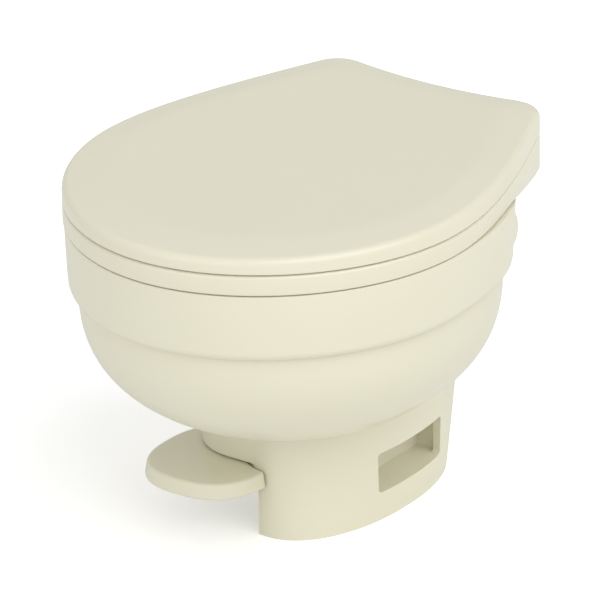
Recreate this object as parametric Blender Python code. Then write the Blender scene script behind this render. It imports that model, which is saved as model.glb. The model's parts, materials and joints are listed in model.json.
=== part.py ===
"""Low gravity-flush toilet with a foot pedal, a half-ball flush valve, a hinged seat and a hinged lid.

Metres, +Z up. The origin is the middle of the footprint box on the floor, and the front faces -Y.
"""
import math

import bmesh
import bpy
from mathutils import Vector

# Fits shared by all pieces
FIT_GAP = 0.0003
OVERRUN = 0.02
SMOOTH_ANGLE = math.radians(32)

# Facets
OUTLINE_FRONT_STEPS = 8
OUTLINE_SIDE_STEPS = 5
OUTLINE_CORNER_STEPS = 4
OUTLINE_BACK_STEPS = 3
BODY_STEPS = 42
REAR_DENSITY_SHARES = (0.25, 0.1)
BOWL_SECTIONS = 9
LINER_STEPS = 28
HOUSING_LEVELS = 5
CURVE_STEPS = 40
ROUND_STEPS = 16
SMALL_STEPS = 8
TUBE_STEPS = 8
NUT_STEPS = 24
ROUTE_STEPS = 2

# Seat and lid outline, and the height of the step under the band
TOTAL_DEPTH = 0.474
REAR_Y = TOTAL_DEPTH / 2
STEP_HEIGHT = 0.259
SEAT_WIDTH = 0.398
WIDEST_Y = -0.0254
FRONT_HANDLE_SHARES = (0.519, 0.5506)
SIDE_HANDLE = 0.0757
CORNER_HANDLE = 0.0729
CORNER_RADIUS = 0.0326
CORNER_CENTRE_X = 0.0976
CORNER_START = math.radians(22.45)
CORNER_END = math.radians(101.1)
BACK_BOW = 0.0089

# Lid
LID_SKIRT_RISE = 0.0883
LID_SKIRT_BOTTOM = STEP_HEIGHT + LID_SKIRT_RISE
LID_FRONT_RISE = 0.1028
LID_FRONT_TOP = STEP_HEIGHT + LID_FRONT_RISE
LID_REAR_RISE = 0.1108
LID_REAR_TOP = STEP_HEIGHT + LID_REAR_RISE
LID_EDGE_ROUND = 0.007
LID_CROWN = 0.0032
LID_WALL = 0.0035
LID_PLATEAU_SHARE = 0.8
LID_PLATEAU_CENTRE_Y = 0.06

# Seat
SEAT_TOP_RISE = 0.087
SEAT_TOP = STEP_HEIGHT + SEAT_TOP_RISE
SEAT_BOTTOM_RISE = 0.068
SEAT_BOTTOM = STEP_HEIGHT + SEAT_BOTTOM_RISE
SEAT_REAR_BOTTOM_RISE = 0.053
SEAT_REAR_BOTTOM = STEP_HEIGHT + SEAT_REAR_BOTTOM_RISE
RAMP_START_SETBACK = 0.132
RAMP_START_Y = REAR_Y - RAMP_START_SETBACK
RAMP_END_SETBACK = 0.034
RAMP_END_Y = REAR_Y - RAMP_END_SETBACK
SEAT_TOP_ROUND = 0.0025
SEAT_BOTTOM_ROUND = 0.003
SEAT_OPENING_HALF_WIDTH = 0.098
SEAT_OPENING_HALF_LENGTH = 0.123
SEAT_OPENING_ROUND = 0.006
OPENING_CENTRE_Y = -0.035
DECK_RING_SHARES = (0.12, 0.45, 0.82)

# Rim shell
SEAT_REST_GAP = 0.0015
DECK_LEAD = 0.01
BAND_INSET = 0.001
BAND_TAPER = 0.0025
BAND_ROUND = 0.0094
BAND_REAR_SETBACK = 0.0433
BAND_REAR_Y = REAR_Y - BAND_REAR_SETBACK
BAND_REAR_HANDLE_SHARES = (0.754, 0.628)
RIM_WALL = 0.004
RIM_EDGE = 0.002
RIM_FLANGE_INSET = 0.026
RIM_FLANGE_THICK = 0.0035
RIM_REAR_SETBACK = 0.051
RIM_REAR_LIMIT_Y = REAR_Y - RIM_REAR_SETBACK
MOUTH_HALF_WIDTH = 0.106
MOUTH_HALF_LENGTH = 0.131
MOUTH_ROUND = 0.003
LIP_WALL = 0.005
LIP_BOTTOM_RISE = 0.054
LIP_BOTTOM = STEP_HEIGHT + LIP_BOTTOM_RISE
SHELF_TOP_RISE = 0.039
SHELF_TOP = STEP_HEIGHT + SHELF_TOP_RISE
SHELF_THICK = 0.012
SHELF_HALF_WIDTH = 0.086
SHELF_REAR_SETBACK = 0.013
SHELF_REAR_Y = REAR_Y - SHELF_REAR_SETBACK
LEDGE_DROP = 0.0008
LEDGE_STEP = 0.0005

# Base shell
BODY_CENTRE_Y = 0.0136
BOWL_TOP_INSET = 0.0125
BOWL_DROP_POWER = 2.6
BOWL_ROOT_POWER = 1.3
BOWL_SPACING_POWER = 1.6
OVAL_POWER = 2.15
NECK_HEIGHT = 0.113
NECK_HALF_WIDTH = 0.070
NECK_HALF_LENGTH = 0.139
NECK_CENTRE_Y = 0.092
FOOT_HALF_WIDTH = 0.0705
FOOT_HALF_LENGTH = 0.1305
FOOT_CENTRE_Y = 0.0765
FOOT_SECTION_SHARES = (0, 0.5)
REAR_BLEND_TOP = 0.213
REAR_BLEND_POWER = 2
BASE_WALL = 0.004
BASE_FLANGE_THICK = 0.006
BASE_FLANGE_BLEND = 0.008

# Drive cover and toe cut at the left of the neck
COVER_BOTTOM = 0.0675
COVER_FRONT_Y = -0.0465
COVER_FRONT_RADIUS = 0.06
COVER_SIDE_X = -0.11
COVER_REAR_Y = 0.025
COVER_REAR_RADIUS = 0.009
COVER_ROOT_X = -0.01
COVER_TOP = 0.142
TOE_FRONT = (-0.010, -0.0535)
TOE_REAR = (-0.066, 0.0305)
TOE_TOP = 0.0485

# Pockets in the pedestal
POCKET_FRONT_Y = 0.035
POCKET_WINDOW_REAR_Y = 0.142
POCKET_REAR_Y = 0.15
POCKET_BOTTOM = 0.028
POCKET_TOP = 0.0685
POCKET_INNER_X = 0.033
POCKET_WALL = 0.0027
POCKET_LINTEL_X = 0.056
POCKET_CORNER = 0.004
SLOT_X = 0.046
SLOT_Y = 0.05
SLOT_HALF_WIDTH = 0.004
SLOT_HALF_LENGTH = 0.009

# Bowl liner
LINER_WALL = 0.0035
LINER_FLOOR = 0.1545
LINER_OUTLET_RADIUS = 0.027
LINER_RINGS = 6

# Rear housing
HOUSING_HALF_WIDTH = 0.116
HOUSING_CORNER_SETBACK = 0.023
HOUSING_CORNER_Y = REAR_Y - HOUSING_CORNER_SETBACK
HOUSING_CROWN = 0.010
HOUSING_PLAN_RADIUS = 0.022
HOUSING_BOTTOM_DROP = 0.033
HOUSING_BOTTOM = STEP_HEIGHT - HOUSING_BOTTOM_DROP
HOUSING_TOP_RISE = 0.023
HOUSING_TOP = STEP_HEIGHT + HOUSING_TOP_RISE
HOUSING_WALL = 0.003
HOUSING_FRONT_SETBACK = 0.107
HOUSING_FRONT_Y = REAR_Y - HOUSING_FRONT_SETBACK
HOUSING_SCREW_X = 0.066
HOUSING_SCREW_RISE = 0.009
HOUSING_SCREW_Z = STEP_HEIGHT + HOUSING_SCREW_RISE
HOUSING_BOSS_RADIUS = 0.006

# Screws
SCREW_RADIUS = 0.002
SCREW_HEAD_RADIUS = 0.0038
SCREW_HEAD_THICK = 0.003
BODY_SCREW_INSET = 0.020
BODY_SCREW_LENGTH = 0.012
BODY_SCREW_ANGLES = (math.radians(-50), math.radians(20), math.radians(160), math.radians(230))

# Seat hinge
SEAT_AXIS_SETBACK = 0.022
SEAT_AXIS_Y = REAR_Y - SEAT_AXIS_SETBACK
SEAT_AXIS_RISE = 0.07
SEAT_AXIS_Z = STEP_HEIGHT + SEAT_AXIS_RISE
HINGE_X = 0.075
POST_HALF_WIDTH = 0.007
POST_KNUCKLE_RADIUS = 0.0085
POST_STEM_HALF = 0.006
POST_FOOT_SETBACK = 0.045
POST_FOOT_FRONT_Y = REAR_Y - POST_FOOT_SETBACK
POST_FOOT_THICK = 0.005
POST_BOLT_SETBACK = 0.037
POST_BOLT_Y = REAR_Y - POST_BOLT_SETBACK
SLOT_SIDE_GAP = 0.0005
SLOT_FRONT_GAP = 0.0015
SLOT_CEILING = 0.0095
SEAT_PIN_RADIUS = 0.004
SEAT_PIN_HALF_LENGTH = 0.019
BOLT_RADIUS = 0.003
BOLT_HEAD_RADIUS = 0.0055
BOLT_HEAD_THICK = 0.003

# Lid hinge
LID_AXIS_SETBACK = 0.011
LID_AXIS_Y = REAR_Y - LID_AXIS_SETBACK
LID_AXIS_RISE = 0.0993
LID_AXIS_Z = STEP_HEIGHT + LID_AXIS_RISE
LID_KNUCKLE_RADIUS = 0.0052
SEAT_EAR_HALF_WIDTH = 0.005
LID_EAR_WIDTH = 0.0077
EAR_GAP = 0.0003
LID_PIN_RADIUS = 0.0025
LID_NOTCH_SIDE_GAP = 0.0005
LID_NOTCH_RISE = 0.0069
LID_SWING_RADIUS = 0.0117
LID_EAR_REACH_Y = 0.002
EAR_ROOT = 0.003

# Bumpers
BUMPER_RADIUS = 0.007
BUMPER_RECESS = 0.004
SEAT_BUMPER_PLACES = ((0.08, -0.18), (0.15, -0.05))
LID_BUMPER_X = 0.14
LID_BUMPER_Y = -0.1

# Pedal drive
PEDAL_AXIS_Z = 0.058
PEDAL_CENTRE_X = -0.064
PEDAL_CENTRE_Y = -0.045
PEDAL_HALF_WIDTH = 0.062
PEDAL_HALF_LENGTH = 0.067
PEDAL_POWER = 2.5
PEDAL_TOP = 0.066
PEDAL_BOTTOM = 0.05
PEDAL_EDGE = 0.0025
PEDAL_SLOPE = 0.0015
PEDAL_WALL = 0.003
PEDAL_ROOF = 0.004
PEDAL_NECK_GAP = 0.0035
LEVER_HUB_RADIUS = 0.010
LEVER_FRONT_Y = -0.036
LEVER_REAR_Y = -0.024
LEVER_BOTTOM = 0.0535
LEVER_END_X = -0.094
LEVER_SCREW_XS = (-0.086, -0.066)
LEVER_SLOT_GAP = 0.002
LEVER_SLOT_BOTTOM = 0.034
LEVER_SLOT_INNER_X = -0.012
SHAFT_RADIUS = 0.005
SHAFT_FRONT_Y = -0.038
SHAFT_REAR_Y = 0.0255
SPRING_FRONT_Y = -0.012
SPRING_LENGTH = 0.014
SPRING_WALL = 0.0028

# Gears
GEAR_MODULE = 0.0015
SECTOR_TEETH = 60
PINION_TEETH = 12
PRESSURE_ANGLE = math.radians(20)
BACKLASH = 0.0003
SECTOR_ADDENDUM = 0.0012
PINION_ADDENDUM = 0.0013
GEAR_DEDENDUM = 0.0019
SECTOR_FIRST_TOOTH = -1
SECTOR_LAST_TOOTH = 4
FLANK_STEPS = 3
GEAR_FRONT_Y = 0.006
GEAR_REAR_Y = 0.014
SECTOR_HUB_RADIUS = 0.011
FINGER_RADIUS = 0.036
FINGER_PAD_RADIUS = 0.0065
FINGER_HALF_HEIGHT = 0.0035

# Gear frame
FRAME_FRONT_Y = -0.018
FRAME_PLATE_THICK = 0.004
FRAME_HALF_WIDTH = 0.014
FRAME_BOTTOM = 0.04
FRAME_BAR_THICK = 0.005
FRAME_FRONT_RISE = 0.014

# Ball valve
BALL_Y = 0.083
BALL_Z = 0.112
BALL_RADIUS = 0.045
BALL_WALL = 0.004
BALL_CAP_ANGLE = math.radians(54)
BALL_ARM_HALF = 0.009
BALL_BOSS_RADIUS = 0.0075
BALL_BOSS_DEPTH = 0.004
BALL_RINGS = 8
BALL_SHAFT_RADIUS = 0.004
BALL_SHAFT_FRONT_Y = 0.003
CHAMBER_CLEARANCE = 0.0012
CHAMBER_WALL = 0.0025
COLLAR_WALL = 0.0055
DRAIN_RADIUS = 0.026
DRAIN_WALL = 0.0025
DRAIN_BOTTOM = 0.006
CHAMBER_BLOCK_HALF_WIDTH = 0.017
CHAMBER_BLOCK_FRONT_Y = 0.024
CHAMBER_BOSS_RADIUS = 0.009
CHAMBER_BOSS_LENGTH = 0.006
BUSH_RADIUS = 0.007
BUSH_LENGTH = 0.008
SEAL_INNER_RADIUS = 0.029
SEAL_WIDTH = 0.006
CLOSET_SEAL_RADIUS = 0.046
CLOSET_SEAL_TOP = 0.016
CLOSET_SEAL_LIFT = 0.0005

# Water parts
VALVE_X = 0.036
VALVE_Y = 0.010
VALVE_HALF_WIDTH = 0.010
VALVE_HALF_LENGTH = 0.015
VALVE_BOTTOM = 0.078
VALVE_TOP = 0.110
PLUNGER_RADIUS = 0.004
PLUNGER_LENGTH = 0.026
PLUNGER_TRAVEL = 0.0115
PORT_Z = 0.1
PORT_RADIUS = 0.0062
PORT_LENGTH = 0.006
TUBE_RADIUS = 0.0045
TUBE_BORE_GAP = 0.0007
INLET_Z = 0.078
INLET_RADIUS = 0.008
INLET_FRONT_Y = 0.198
INLET_REAR_Y = 0.236
INLET_BOSS_RADIUS = 0.014
INLET_BOSS_FRONT_Y = 0.2
INLET_BOSS_REAR_Y = 0.228
INLET_NUT_RADIUS = 0.013
INLET_NUT_THICK = 0.006
BREAKER_X = 0.036
BREAKER_SETBACK = 0.0335
BREAKER_Y = REAR_Y - BREAKER_SETBACK
BREAKER_RADIUS = 0.0085
BREAKER_DROP = 0.019
BREAKER_BOTTOM = STEP_HEIGHT - BREAKER_DROP
BREAKER_HEIGHT = 0.0325
BREAKER_CAP_RADIUS = 0.0055
BREAKER_CAP_THICK = 0.0022
BREAKER_TUBE_DIP = 0.004
RINSE_RISE = 0.008
RINSE_Z = STEP_HEIGHT + RINSE_RISE
RINSE_RADIUS = 0.0038
RINSE_SOCKET_DEPTH = 0.0035
NOZZLE_RADIUS = 0.0055
NOZZLE_BORE_RADIUS = 0.003
NOZZLE_REACH = 0.006
NOZZLE_COLLAR_RADIUS = 0.0075
NOZZLE_COLLAR_SETBACK = 0.006
NOZZLE_COLLAR_LENGTH = 0.01

# Derived sizes
FRONT_Y = -TOTAL_DEPTH / 2
HALF_WIDTH = SEAT_WIDTH / 2
CORNER_CENTRE_Y = TOTAL_DEPTH / 2 - CORNER_RADIUS
DECK_HEIGHT = SEAT_BOTTOM - SEAT_REST_GAP
BASE_TOP = STEP_HEIGHT - FIT_GAP
LINER_TOP = LIP_BOTTOM - FIT_GAP
SECTOR_PITCH_RADIUS = GEAR_MODULE * SECTOR_TEETH / 2
CHAMBER_RADIUS = BALL_RADIUS + CHAMBER_CLEARANCE
SEAL_OUTER_RADIUS = SEAL_INNER_RADIUS + SEAL_WIDTH
COLLAR_TOP = LINER_FLOOR - LINER_WALL - FIT_GAP
PLUNGER_BOTTOM = PEDAL_AXIS_Z + FINGER_PAD_RADIUS + FIT_GAP
LEVER_TOP = PEDAL_TOP - PEDAL_ROOF - FIT_GAP


def clear_scene():
    """Remove every object of the scene."""
    for item in list(bpy.data.objects):
        bpy.data.objects.remove(item, do_unlink=True)


def plain_material(name, color, roughness, metallic=0.0):
    """A Principled material of one colour."""
    material = bpy.data.materials.new(name)
    material.use_nodes = True
    shader = material.node_tree.nodes["Principled BSDF"]
    shader.inputs["Base Color"].default_value = (*color, 1.0)
    shader.inputs["Roughness"].default_value = roughness
    shader.inputs["Metallic"].default_value = metallic
    return material


def make_materials():
    """The plastics, rubbers and metals of the toilet, by name."""
    return {
        "bone": plain_material("bone_plastic", (0.745, 0.723, 0.591), 0.32),
        "dark": plain_material("valve_plastic", (0.035, 0.035, 0.037), 0.42),
        "grey": plain_material("gear_plastic", (0.34, 0.34, 0.33), 0.45),
        "white": plain_material("tube_plastic", (0.72, 0.72, 0.70), 0.38),
        "rubber": plain_material("seal_rubber", (0.016, 0.016, 0.016), 0.78),
        "steel": plain_material("pin_steel", (0.56, 0.56, 0.55), 0.3, 1.0),
        "brass": plain_material("inlet_brass", (0.62, 0.42, 0.16), 0.34, 1.0),
    }


def joint_empty(name, place, parent=None):
    """An empty on a joint's axis."""
    empty = bpy.data.objects.new(name, None)
    bpy.context.scene.collection.objects.link(empty)
    empty.location = Vector(place)
    if parent:
        empty.parent = parent
        empty.location -= parent.location
    return empty


def axis_place(empty):
    """World place of a joint's empty."""
    place = Vector((0, 0, 0))
    while empty:
        place += empty.location
        empty = empty.parent
    return place


def solid(name, mesh, material, axis=None):
    """Turn a bmesh in world places into a named object on its joint's axis."""
    bmesh.ops.remove_doubles(mesh, verts=mesh.verts, dist=FIT_GAP / 100)
    bmesh.ops.recalc_face_normals(mesh, faces=mesh.faces)
    if axis:
        bmesh.ops.translate(mesh, verts=mesh.verts, vec=-axis_place(axis))
    data = bpy.data.meshes.new(name)
    mesh.to_mesh(data)
    mesh.free()
    data.shade_smooth()
    data.set_sharp_from_angle(angle=SMOOTH_ANGLE)
    item = bpy.data.objects.new(name, data)
    bpy.context.scene.collection.objects.link(item)
    item.parent = axis
    if material:
        data.materials.append(material)
    return item


def helper(name, mesh, axis=None):
    """A cutter or an added lump, left out of the toilet itself."""
    item = solid(name, mesh, None, axis)
    item.hide_render = True
    item.display_type = "WIRE"
    return item


def combine(item, other, operation):
    """Join or cut with another closed solid."""
    modifier = item.modifiers.new(f"{operation.lower()} {other.name}", "BOOLEAN")
    modifier.operation = operation
    modifier.solver = "EXACT"
    modifier.object = other


def oriented(axis, across, up, along):
    """Place (across, up, along) with the last value running along the named axis."""
    if axis == "X":
        return Vector((along, across, up))
    if axis == "Y":
        return Vector((across, along, up))
    return Vector((across, up, along))


def add_loft(mesh, rings, closed_chain=False):
    """Skin rings of equal length. The end rings are capped unless the chain closes on itself."""
    rows = [[mesh.verts.new(point) for point in ring] for ring in rings]
    pairs = list(zip(rows, rows[1:]))
    if closed_chain:
        pairs.append((rows[-1], rows[0]))
    for low, high in pairs:
        for index, point in enumerate(low):
            after = (index + 1) % len(low)
            mesh.faces.new((point, low[after], high[after], high[index]))
    if not closed_chain:
        mesh.faces.new(list(reversed(rows[0])))
        mesh.faces.new(rows[-1])


def add_box(mesh, low, high):
    """A box between two corners."""
    ring = [(low[0], low[1]), (high[0], low[1]), (high[0], high[1]), (low[0], high[1])]
    add_loft(mesh, [[Vector((x, y, z)) for x, y in ring] for z in (low[2], high[2])])


def add_prism(mesh, outline, axis, start, end):
    """A flat outline run along an axis."""
    add_loft(mesh, [[oriented(axis, u, v, w) for u, v in outline] for w in (start, end)])


def circle(centre, radius, steps, turn=0.0):
    """Points of a circle about a flat centre."""
    angles = [turn + math.tau * index / steps for index in range(steps)]
    return [(centre[0] + radius * math.cos(a), centre[1] + radius * math.sin(a)) for a in angles]


def add_cylinder(mesh, axis, centre, radius, start, end, steps=ROUND_STEPS):
    """A round bar along an axis."""
    add_prism(mesh, circle(centre, radius, steps, math.pi / steps / 2), axis, start, end)


def add_turned(mesh, profile, axis, centre, steps=ROUND_STEPS):
    """Turn a closed profile of (radius, height) about an axis through the flat centre."""
    rows = []
    for radius, height in profile:
        if radius == 0:
            rows.append([mesh.verts.new(oriented(axis, centre[0], centre[1], height))])
        else:
            points = circle(centre, radius, steps, math.pi / steps)
            rows.append([mesh.verts.new(oriented(axis, u, v, height)) for u, v in points])
    for low, high in zip(rows, rows[1:] + rows[:1]):
        for index in range(steps):
            after = (index + 1) % steps
            corners = [low[index % len(low)], low[after % len(low)]]
            corners += [high[after % len(high)], high[index % len(high)]]
            distinct = list(dict.fromkeys(corners))
            if len(distinct) > 2:
                mesh.faces.new(distinct)


def screw_profile(start, grip, head):
    """Profile of a screw: a shank from start to the head's seat, then its head."""
    top = start + grip + head
    seat = start + grip
    edge = SCREW_HEAD_RADIUS
    return [(0, start), (SCREW_RADIUS, start), (SCREW_RADIUS, seat), (edge, seat), (edge, top), (0, top)]


def cubic(points, steps):
    """Points along a cubic curve, its last point left out."""
    first, second, third, fourth = [Vector(point) for point in points]
    result = []
    for index in range(steps):
        t = index / steps
        s = 1 - t
        result.append(first * s**3 + second * 3 * s * s * t + third * 3 * s * t * t + fourth * t**3)
    return result


def arc(centre, radius, start, end, steps):
    """Points along an arc, both ends included."""
    angles = [start + (end - start) * index / steps for index in range(steps + 1)]
    return [Vector((centre[0] + radius * math.cos(a), centre[1] + radius * math.sin(a))) for a in angles]


def mirrored(half):
    """Close a half outline that runs from the front middle over +X to the rear middle."""
    other = [Vector((-point.x, point.y)) for point in reversed(half[1:-1])]
    return half + other


def front_curve(steps):
    """Front of the outline, from the front middle to the widest place."""
    first_share, second_share = FRONT_HANDLE_SHARES
    points = (
        (0, FRONT_Y),
        (first_share * HALF_WIDTH, FRONT_Y),
        (HALF_WIDTH, WIDEST_Y - second_share * (WIDEST_Y - FRONT_Y)),
        (HALF_WIDTH, WIDEST_Y),
    )
    return cubic(points, steps)


def seat_outline():
    """Outline of the seat and the lid: round front, tapered sides, small corners, hollow back."""
    centre = (CORNER_CENTRE_X, CORNER_CENTRE_Y)
    corner = arc(centre, CORNER_RADIUS, CORNER_START, CORNER_END, OUTLINE_CORNER_STEPS)
    tangent = Vector((-math.sin(CORNER_START), math.cos(CORNER_START)))
    side_points = (
        (HALF_WIDTH, WIDEST_Y),
        (HALF_WIDTH, WIDEST_Y + SIDE_HANDLE),
        corner[0] - tangent * CORNER_HANDLE,
        corner[0],
    )
    half = front_curve(OUTLINE_FRONT_STEPS) + cubic(side_points, OUTLINE_SIDE_STEPS) + corner
    reach = corner[-1].x
    middle_y = corner[-1].y - BACK_BOW
    for index in range(1, OUTLINE_BACK_STEPS + 1):
        x = reach * (1 - index / OUTLINE_BACK_STEPS)
        half.append(Vector((x, middle_y + BACK_BOW * (x / reach) ** 2)))
    return mirrored(half)


def body_outline():
    """Outline of the band under the seat, rounder at the rear than the seat."""
    first_share, second_share = BAND_REAR_HANDLE_SHARES
    rear_points = (
        (HALF_WIDTH, WIDEST_Y),
        (HALF_WIDTH, WIDEST_Y + first_share * (BAND_REAR_Y - WIDEST_Y)),
        (second_share * HALF_WIDTH, BAND_REAR_Y),
        (0, BAND_REAR_Y),
    )
    half = front_curve(CURVE_STEPS) + cubic(rear_points, CURVE_STEPS) + [Vector((0, BAND_REAR_Y))]
    return mirrored(half)


def inset_outline(points, distance):
    """Move each point of an outline inwards along its normal."""
    moved = []
    for index, point in enumerate(points):
        along = points[(index + 1) % len(points)] - points[index - 1]
        along.normalize()
        moved.append(point + Vector((-along.y, along.x)) * distance)
    return moved


def polar_table(points, centre_y):
    """Angle and radius of each outline point about a centre on the middle line."""
    table = []
    for point in points:
        rise = point.y - centre_y
        table.append((math.atan2(rise, point.x), math.hypot(point.x, rise)))
    table.sort()
    first, last = table[0], table[-1]
    return [(last[0] - math.tau, last[1])] + table + [(first[0] + math.tau, first[1])]


def radius_at(table, angle):
    """Radius of a polar table at an angle."""
    for (low, near), (high, far) in zip(table, table[1:]):
        if low <= angle <= high:
            return near + (far - near) * (angle - low) / (high - low)
    return table[-1][1]


def body_angles():
    """Angles of the body's facets about its centre, closer together at the narrow rear."""
    once_share, twice_share = REAR_DENSITY_SHARES
    angles = []
    for index in range(BODY_STEPS):
        turn = math.tau * (index + 0.5) / BODY_STEPS
        turn -= once_share * math.sin(turn) + twice_share * math.sin(2 * turn)
        angle = math.pi / 2 + turn
        angles.append(angle if angle < math.pi else angle - math.tau)
    return angles


def band_radii(inset):
    """Radius of the band's outline at each facet angle, moved inwards."""
    table = polar_table(inset_outline(body_outline(), inset), BODY_CENTRE_Y)
    return [radius_at(table, angle) for angle in body_angles()]


def oval_radii(half_width, half_length, centre_y):
    """Radius, about the body's centre, of a slightly squared oval with its own centre."""
    oval = []
    for u, v in circle((0, 0), 1, 4 * CURVE_STEPS):
        across = math.copysign(abs(u) ** (2 / OVAL_POWER), u)
        along = math.copysign(abs(v) ** (2 / OVAL_POWER), v)
        oval.append(Vector((half_width * across, centre_y + half_length * along)))
    table = polar_table(oval, BODY_CENTRE_Y)
    return [radius_at(table, angle) for angle in body_angles()]


def polar_ring(radii, heights):
    """World points of a ring from its radii and heights about the body's centre."""
    ring = []
    for angle, radius, height in zip(body_angles(), radii, heights):
        ring.append(Vector((radius * math.cos(angle), BODY_CENTRE_Y + radius * math.sin(angle), height)))
    return ring


def ramp(y):
    """How far the seat's underside and the deck have dropped at a place towards the hinge."""
    run = min(max(y - RAMP_START_Y, 0.0), RAMP_END_Y - RAMP_START_Y)
    return run * (SEAT_BOTTOM - SEAT_REAR_BOTTOM) / (RAMP_END_Y - RAMP_START_Y)


def lid_top(y):
    """Height of the lid's top edge, which rises to the rear."""
    return LID_FRONT_TOP + (LID_REAR_TOP - LID_FRONT_TOP) * (y - FRONT_Y) / TOTAL_DEPTH


def lid_bottom(y):
    """Height of the lid's skirt, lifted behind the hinge so that it swings clear of the seat."""
    behind = y - LID_AXIS_Y
    if behind <= 0:
        return LID_SKIRT_BOTTOM
    swing = math.sqrt(max(LID_SWING_RADIUS**2 - behind**2, 0.0))
    return max(LID_SKIRT_BOTTOM, LID_AXIS_Z - swing)


def raised(points, height_of):
    """World points of a flat outline, with the height worked out from each point's place."""
    return [Vector((point.x, point.y, height_of(point.y))) for point in points]


def opening_point(point, half_width, half_length):
    """Point of an oval about the opening's centre, in the direction of an outline point."""
    angle = math.atan2(point.y - OPENING_CENTRE_Y, point.x)
    across = half_length * math.cos(angle)
    along = half_width * math.sin(angle)
    radius = half_width * half_length / math.hypot(across, along)
    return Vector((radius * math.cos(angle), OPENING_CENTRE_Y + radius * math.sin(angle)))


def between(inner, outer, share):
    """Outline at a share of the way from an inner to an outer outline."""
    return [near.lerp(far, share) for near, far in zip(inner, outer)]


def both_sides():
    """The two sides with their names."""
    return ((1, "right"), (-1, "left"))


def span(side, low, high):
    """A range in X on one side of the middle, lowest value first."""
    return tuple(sorted((side * low, side * high)))


def bowl_share(height):
    """How far the lower bowl has swelled from the neck to the band at a height."""
    drop = (STEP_HEIGHT - height) / (STEP_HEIGHT - NECK_HEIGHT)
    return (1 - max(drop, 0.0) ** BOWL_DROP_POWER) ** (1 / BOWL_ROOT_POWER)


def swelled(neck, bowl, swell, height):
    """Radii between the neck and the bowl; where the neck stands out further, it draws in higher up."""
    run = (height - NECK_HEIGHT) / (REAR_BLEND_TOP - NECK_HEIGHT)
    late = min(max(run, 0.0), 1.0) ** REAR_BLEND_POWER
    return [n + (b - n) * (swell if b > n else late) for n, b in zip(neck, bowl)]


def base_sections(top):
    """Radii and height of the base's outer sections, from the floor to the given height."""
    bowl = band_radii(BOWL_TOP_INSET)
    neck = oval_radii(NECK_HALF_WIDTH, NECK_HALF_LENGTH, NECK_CENTRE_Y)
    foot = oval_radii(FOOT_HALF_WIDTH, FOOT_HALF_LENGTH, FOOT_CENTRE_Y)
    sections = []
    for share in FOOT_SECTION_SHARES:
        sections.append(([f + (n - f) * share for f, n in zip(foot, neck)], share * NECK_HEIGHT))
    for index in range(BOWL_SECTIONS + 1):
        height = NECK_HEIGHT + (top - NECK_HEIGHT) * (index / BOWL_SECTIONS) ** BOWL_SPACING_POWER
        sections.append((swelled(neck, bowl, bowl_share(height), height), height))
    return sections


def offset_sections(sections, distance):
    """Sections moved inwards along the normal of the profile at each facet angle."""
    moved = []
    last = len(sections) - 1
    for index in range(last + 1):
        below_radii, below_height = sections[max(index - 1, 0)]
        above_radii, above_height = sections[min(index + 1, last)]
        radii, height = sections[index]
        rise = above_height - below_height
        new_radii = []
        new_heights = []
        for below, above, radius in zip(below_radii, above_radii, radii):
            run = above - below
            length = math.hypot(run, rise)
            new_radii.append(radius - distance * rise / length)
            new_heights.append(height + distance * run / length)
        moved.append((new_radii, new_heights))
    return moved


def rounded_rectangle(low, high, radius):
    """Outline of a rectangle with round corners."""
    corners = (
        (high[0] - radius, high[1] - radius, 0),
        (low[0] + radius, high[1] - radius, math.pi / 2),
        (low[0] + radius, low[1] + radius, math.pi),
        (high[0] - radius, low[1] + radius, -math.pi / 2),
    )
    outline = []
    for x, y, start in corners:
        outline += [tuple(point) for point in arc((x, y), radius, start, start + math.pi / 2, 3)]
    return outline


def drive_cover(wall, top):
    """Block of the drive cover, which hangs from the bowl at the left of the neck, less a wall."""
    turn = math.pi / 2
    middle = (COVER_SIDE_X + COVER_FRONT_RADIUS, COVER_FRONT_Y + COVER_FRONT_RADIUS)
    corner = (COVER_SIDE_X + COVER_REAR_RADIUS, COVER_REAR_Y - COVER_REAR_RADIUS)
    outline = [tuple(point) for point in arc(corner, COVER_REAR_RADIUS - wall, turn, 2 * turn, 3)]
    outline += [tuple(point) for point in arc(middle, COVER_FRONT_RADIUS - wall, 2 * turn, 3 * turn, 8)]
    outline += [(COVER_ROOT_X, COVER_FRONT_Y + wall), (COVER_ROOT_X, COVER_REAR_Y - wall)]
    mesh = bmesh.new()
    add_prism(mesh, outline, "Z", COVER_BOTTOM + wall, top)
    return mesh


def toe_cut(wall):
    """Block that cuts the foot back under the pedal, grown by a wall."""
    front, rear = Vector(TOE_FRONT), Vector(TOE_REAR)
    along = (rear - front).normalized()
    inward = Vector((along.y, -along.x)) * wall
    front = front + inward - along * OVERRUN
    rear = rear + inward + along * OVERRUN
    outline = [tuple(front), tuple(rear), (-HALF_WIDTH, rear.y), (-HALF_WIDTH, front.y)]
    mesh = bmesh.new()
    add_prism(mesh, outline, "Z", -OVERRUN - wall, TOE_TOP + wall)
    return mesh


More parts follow.
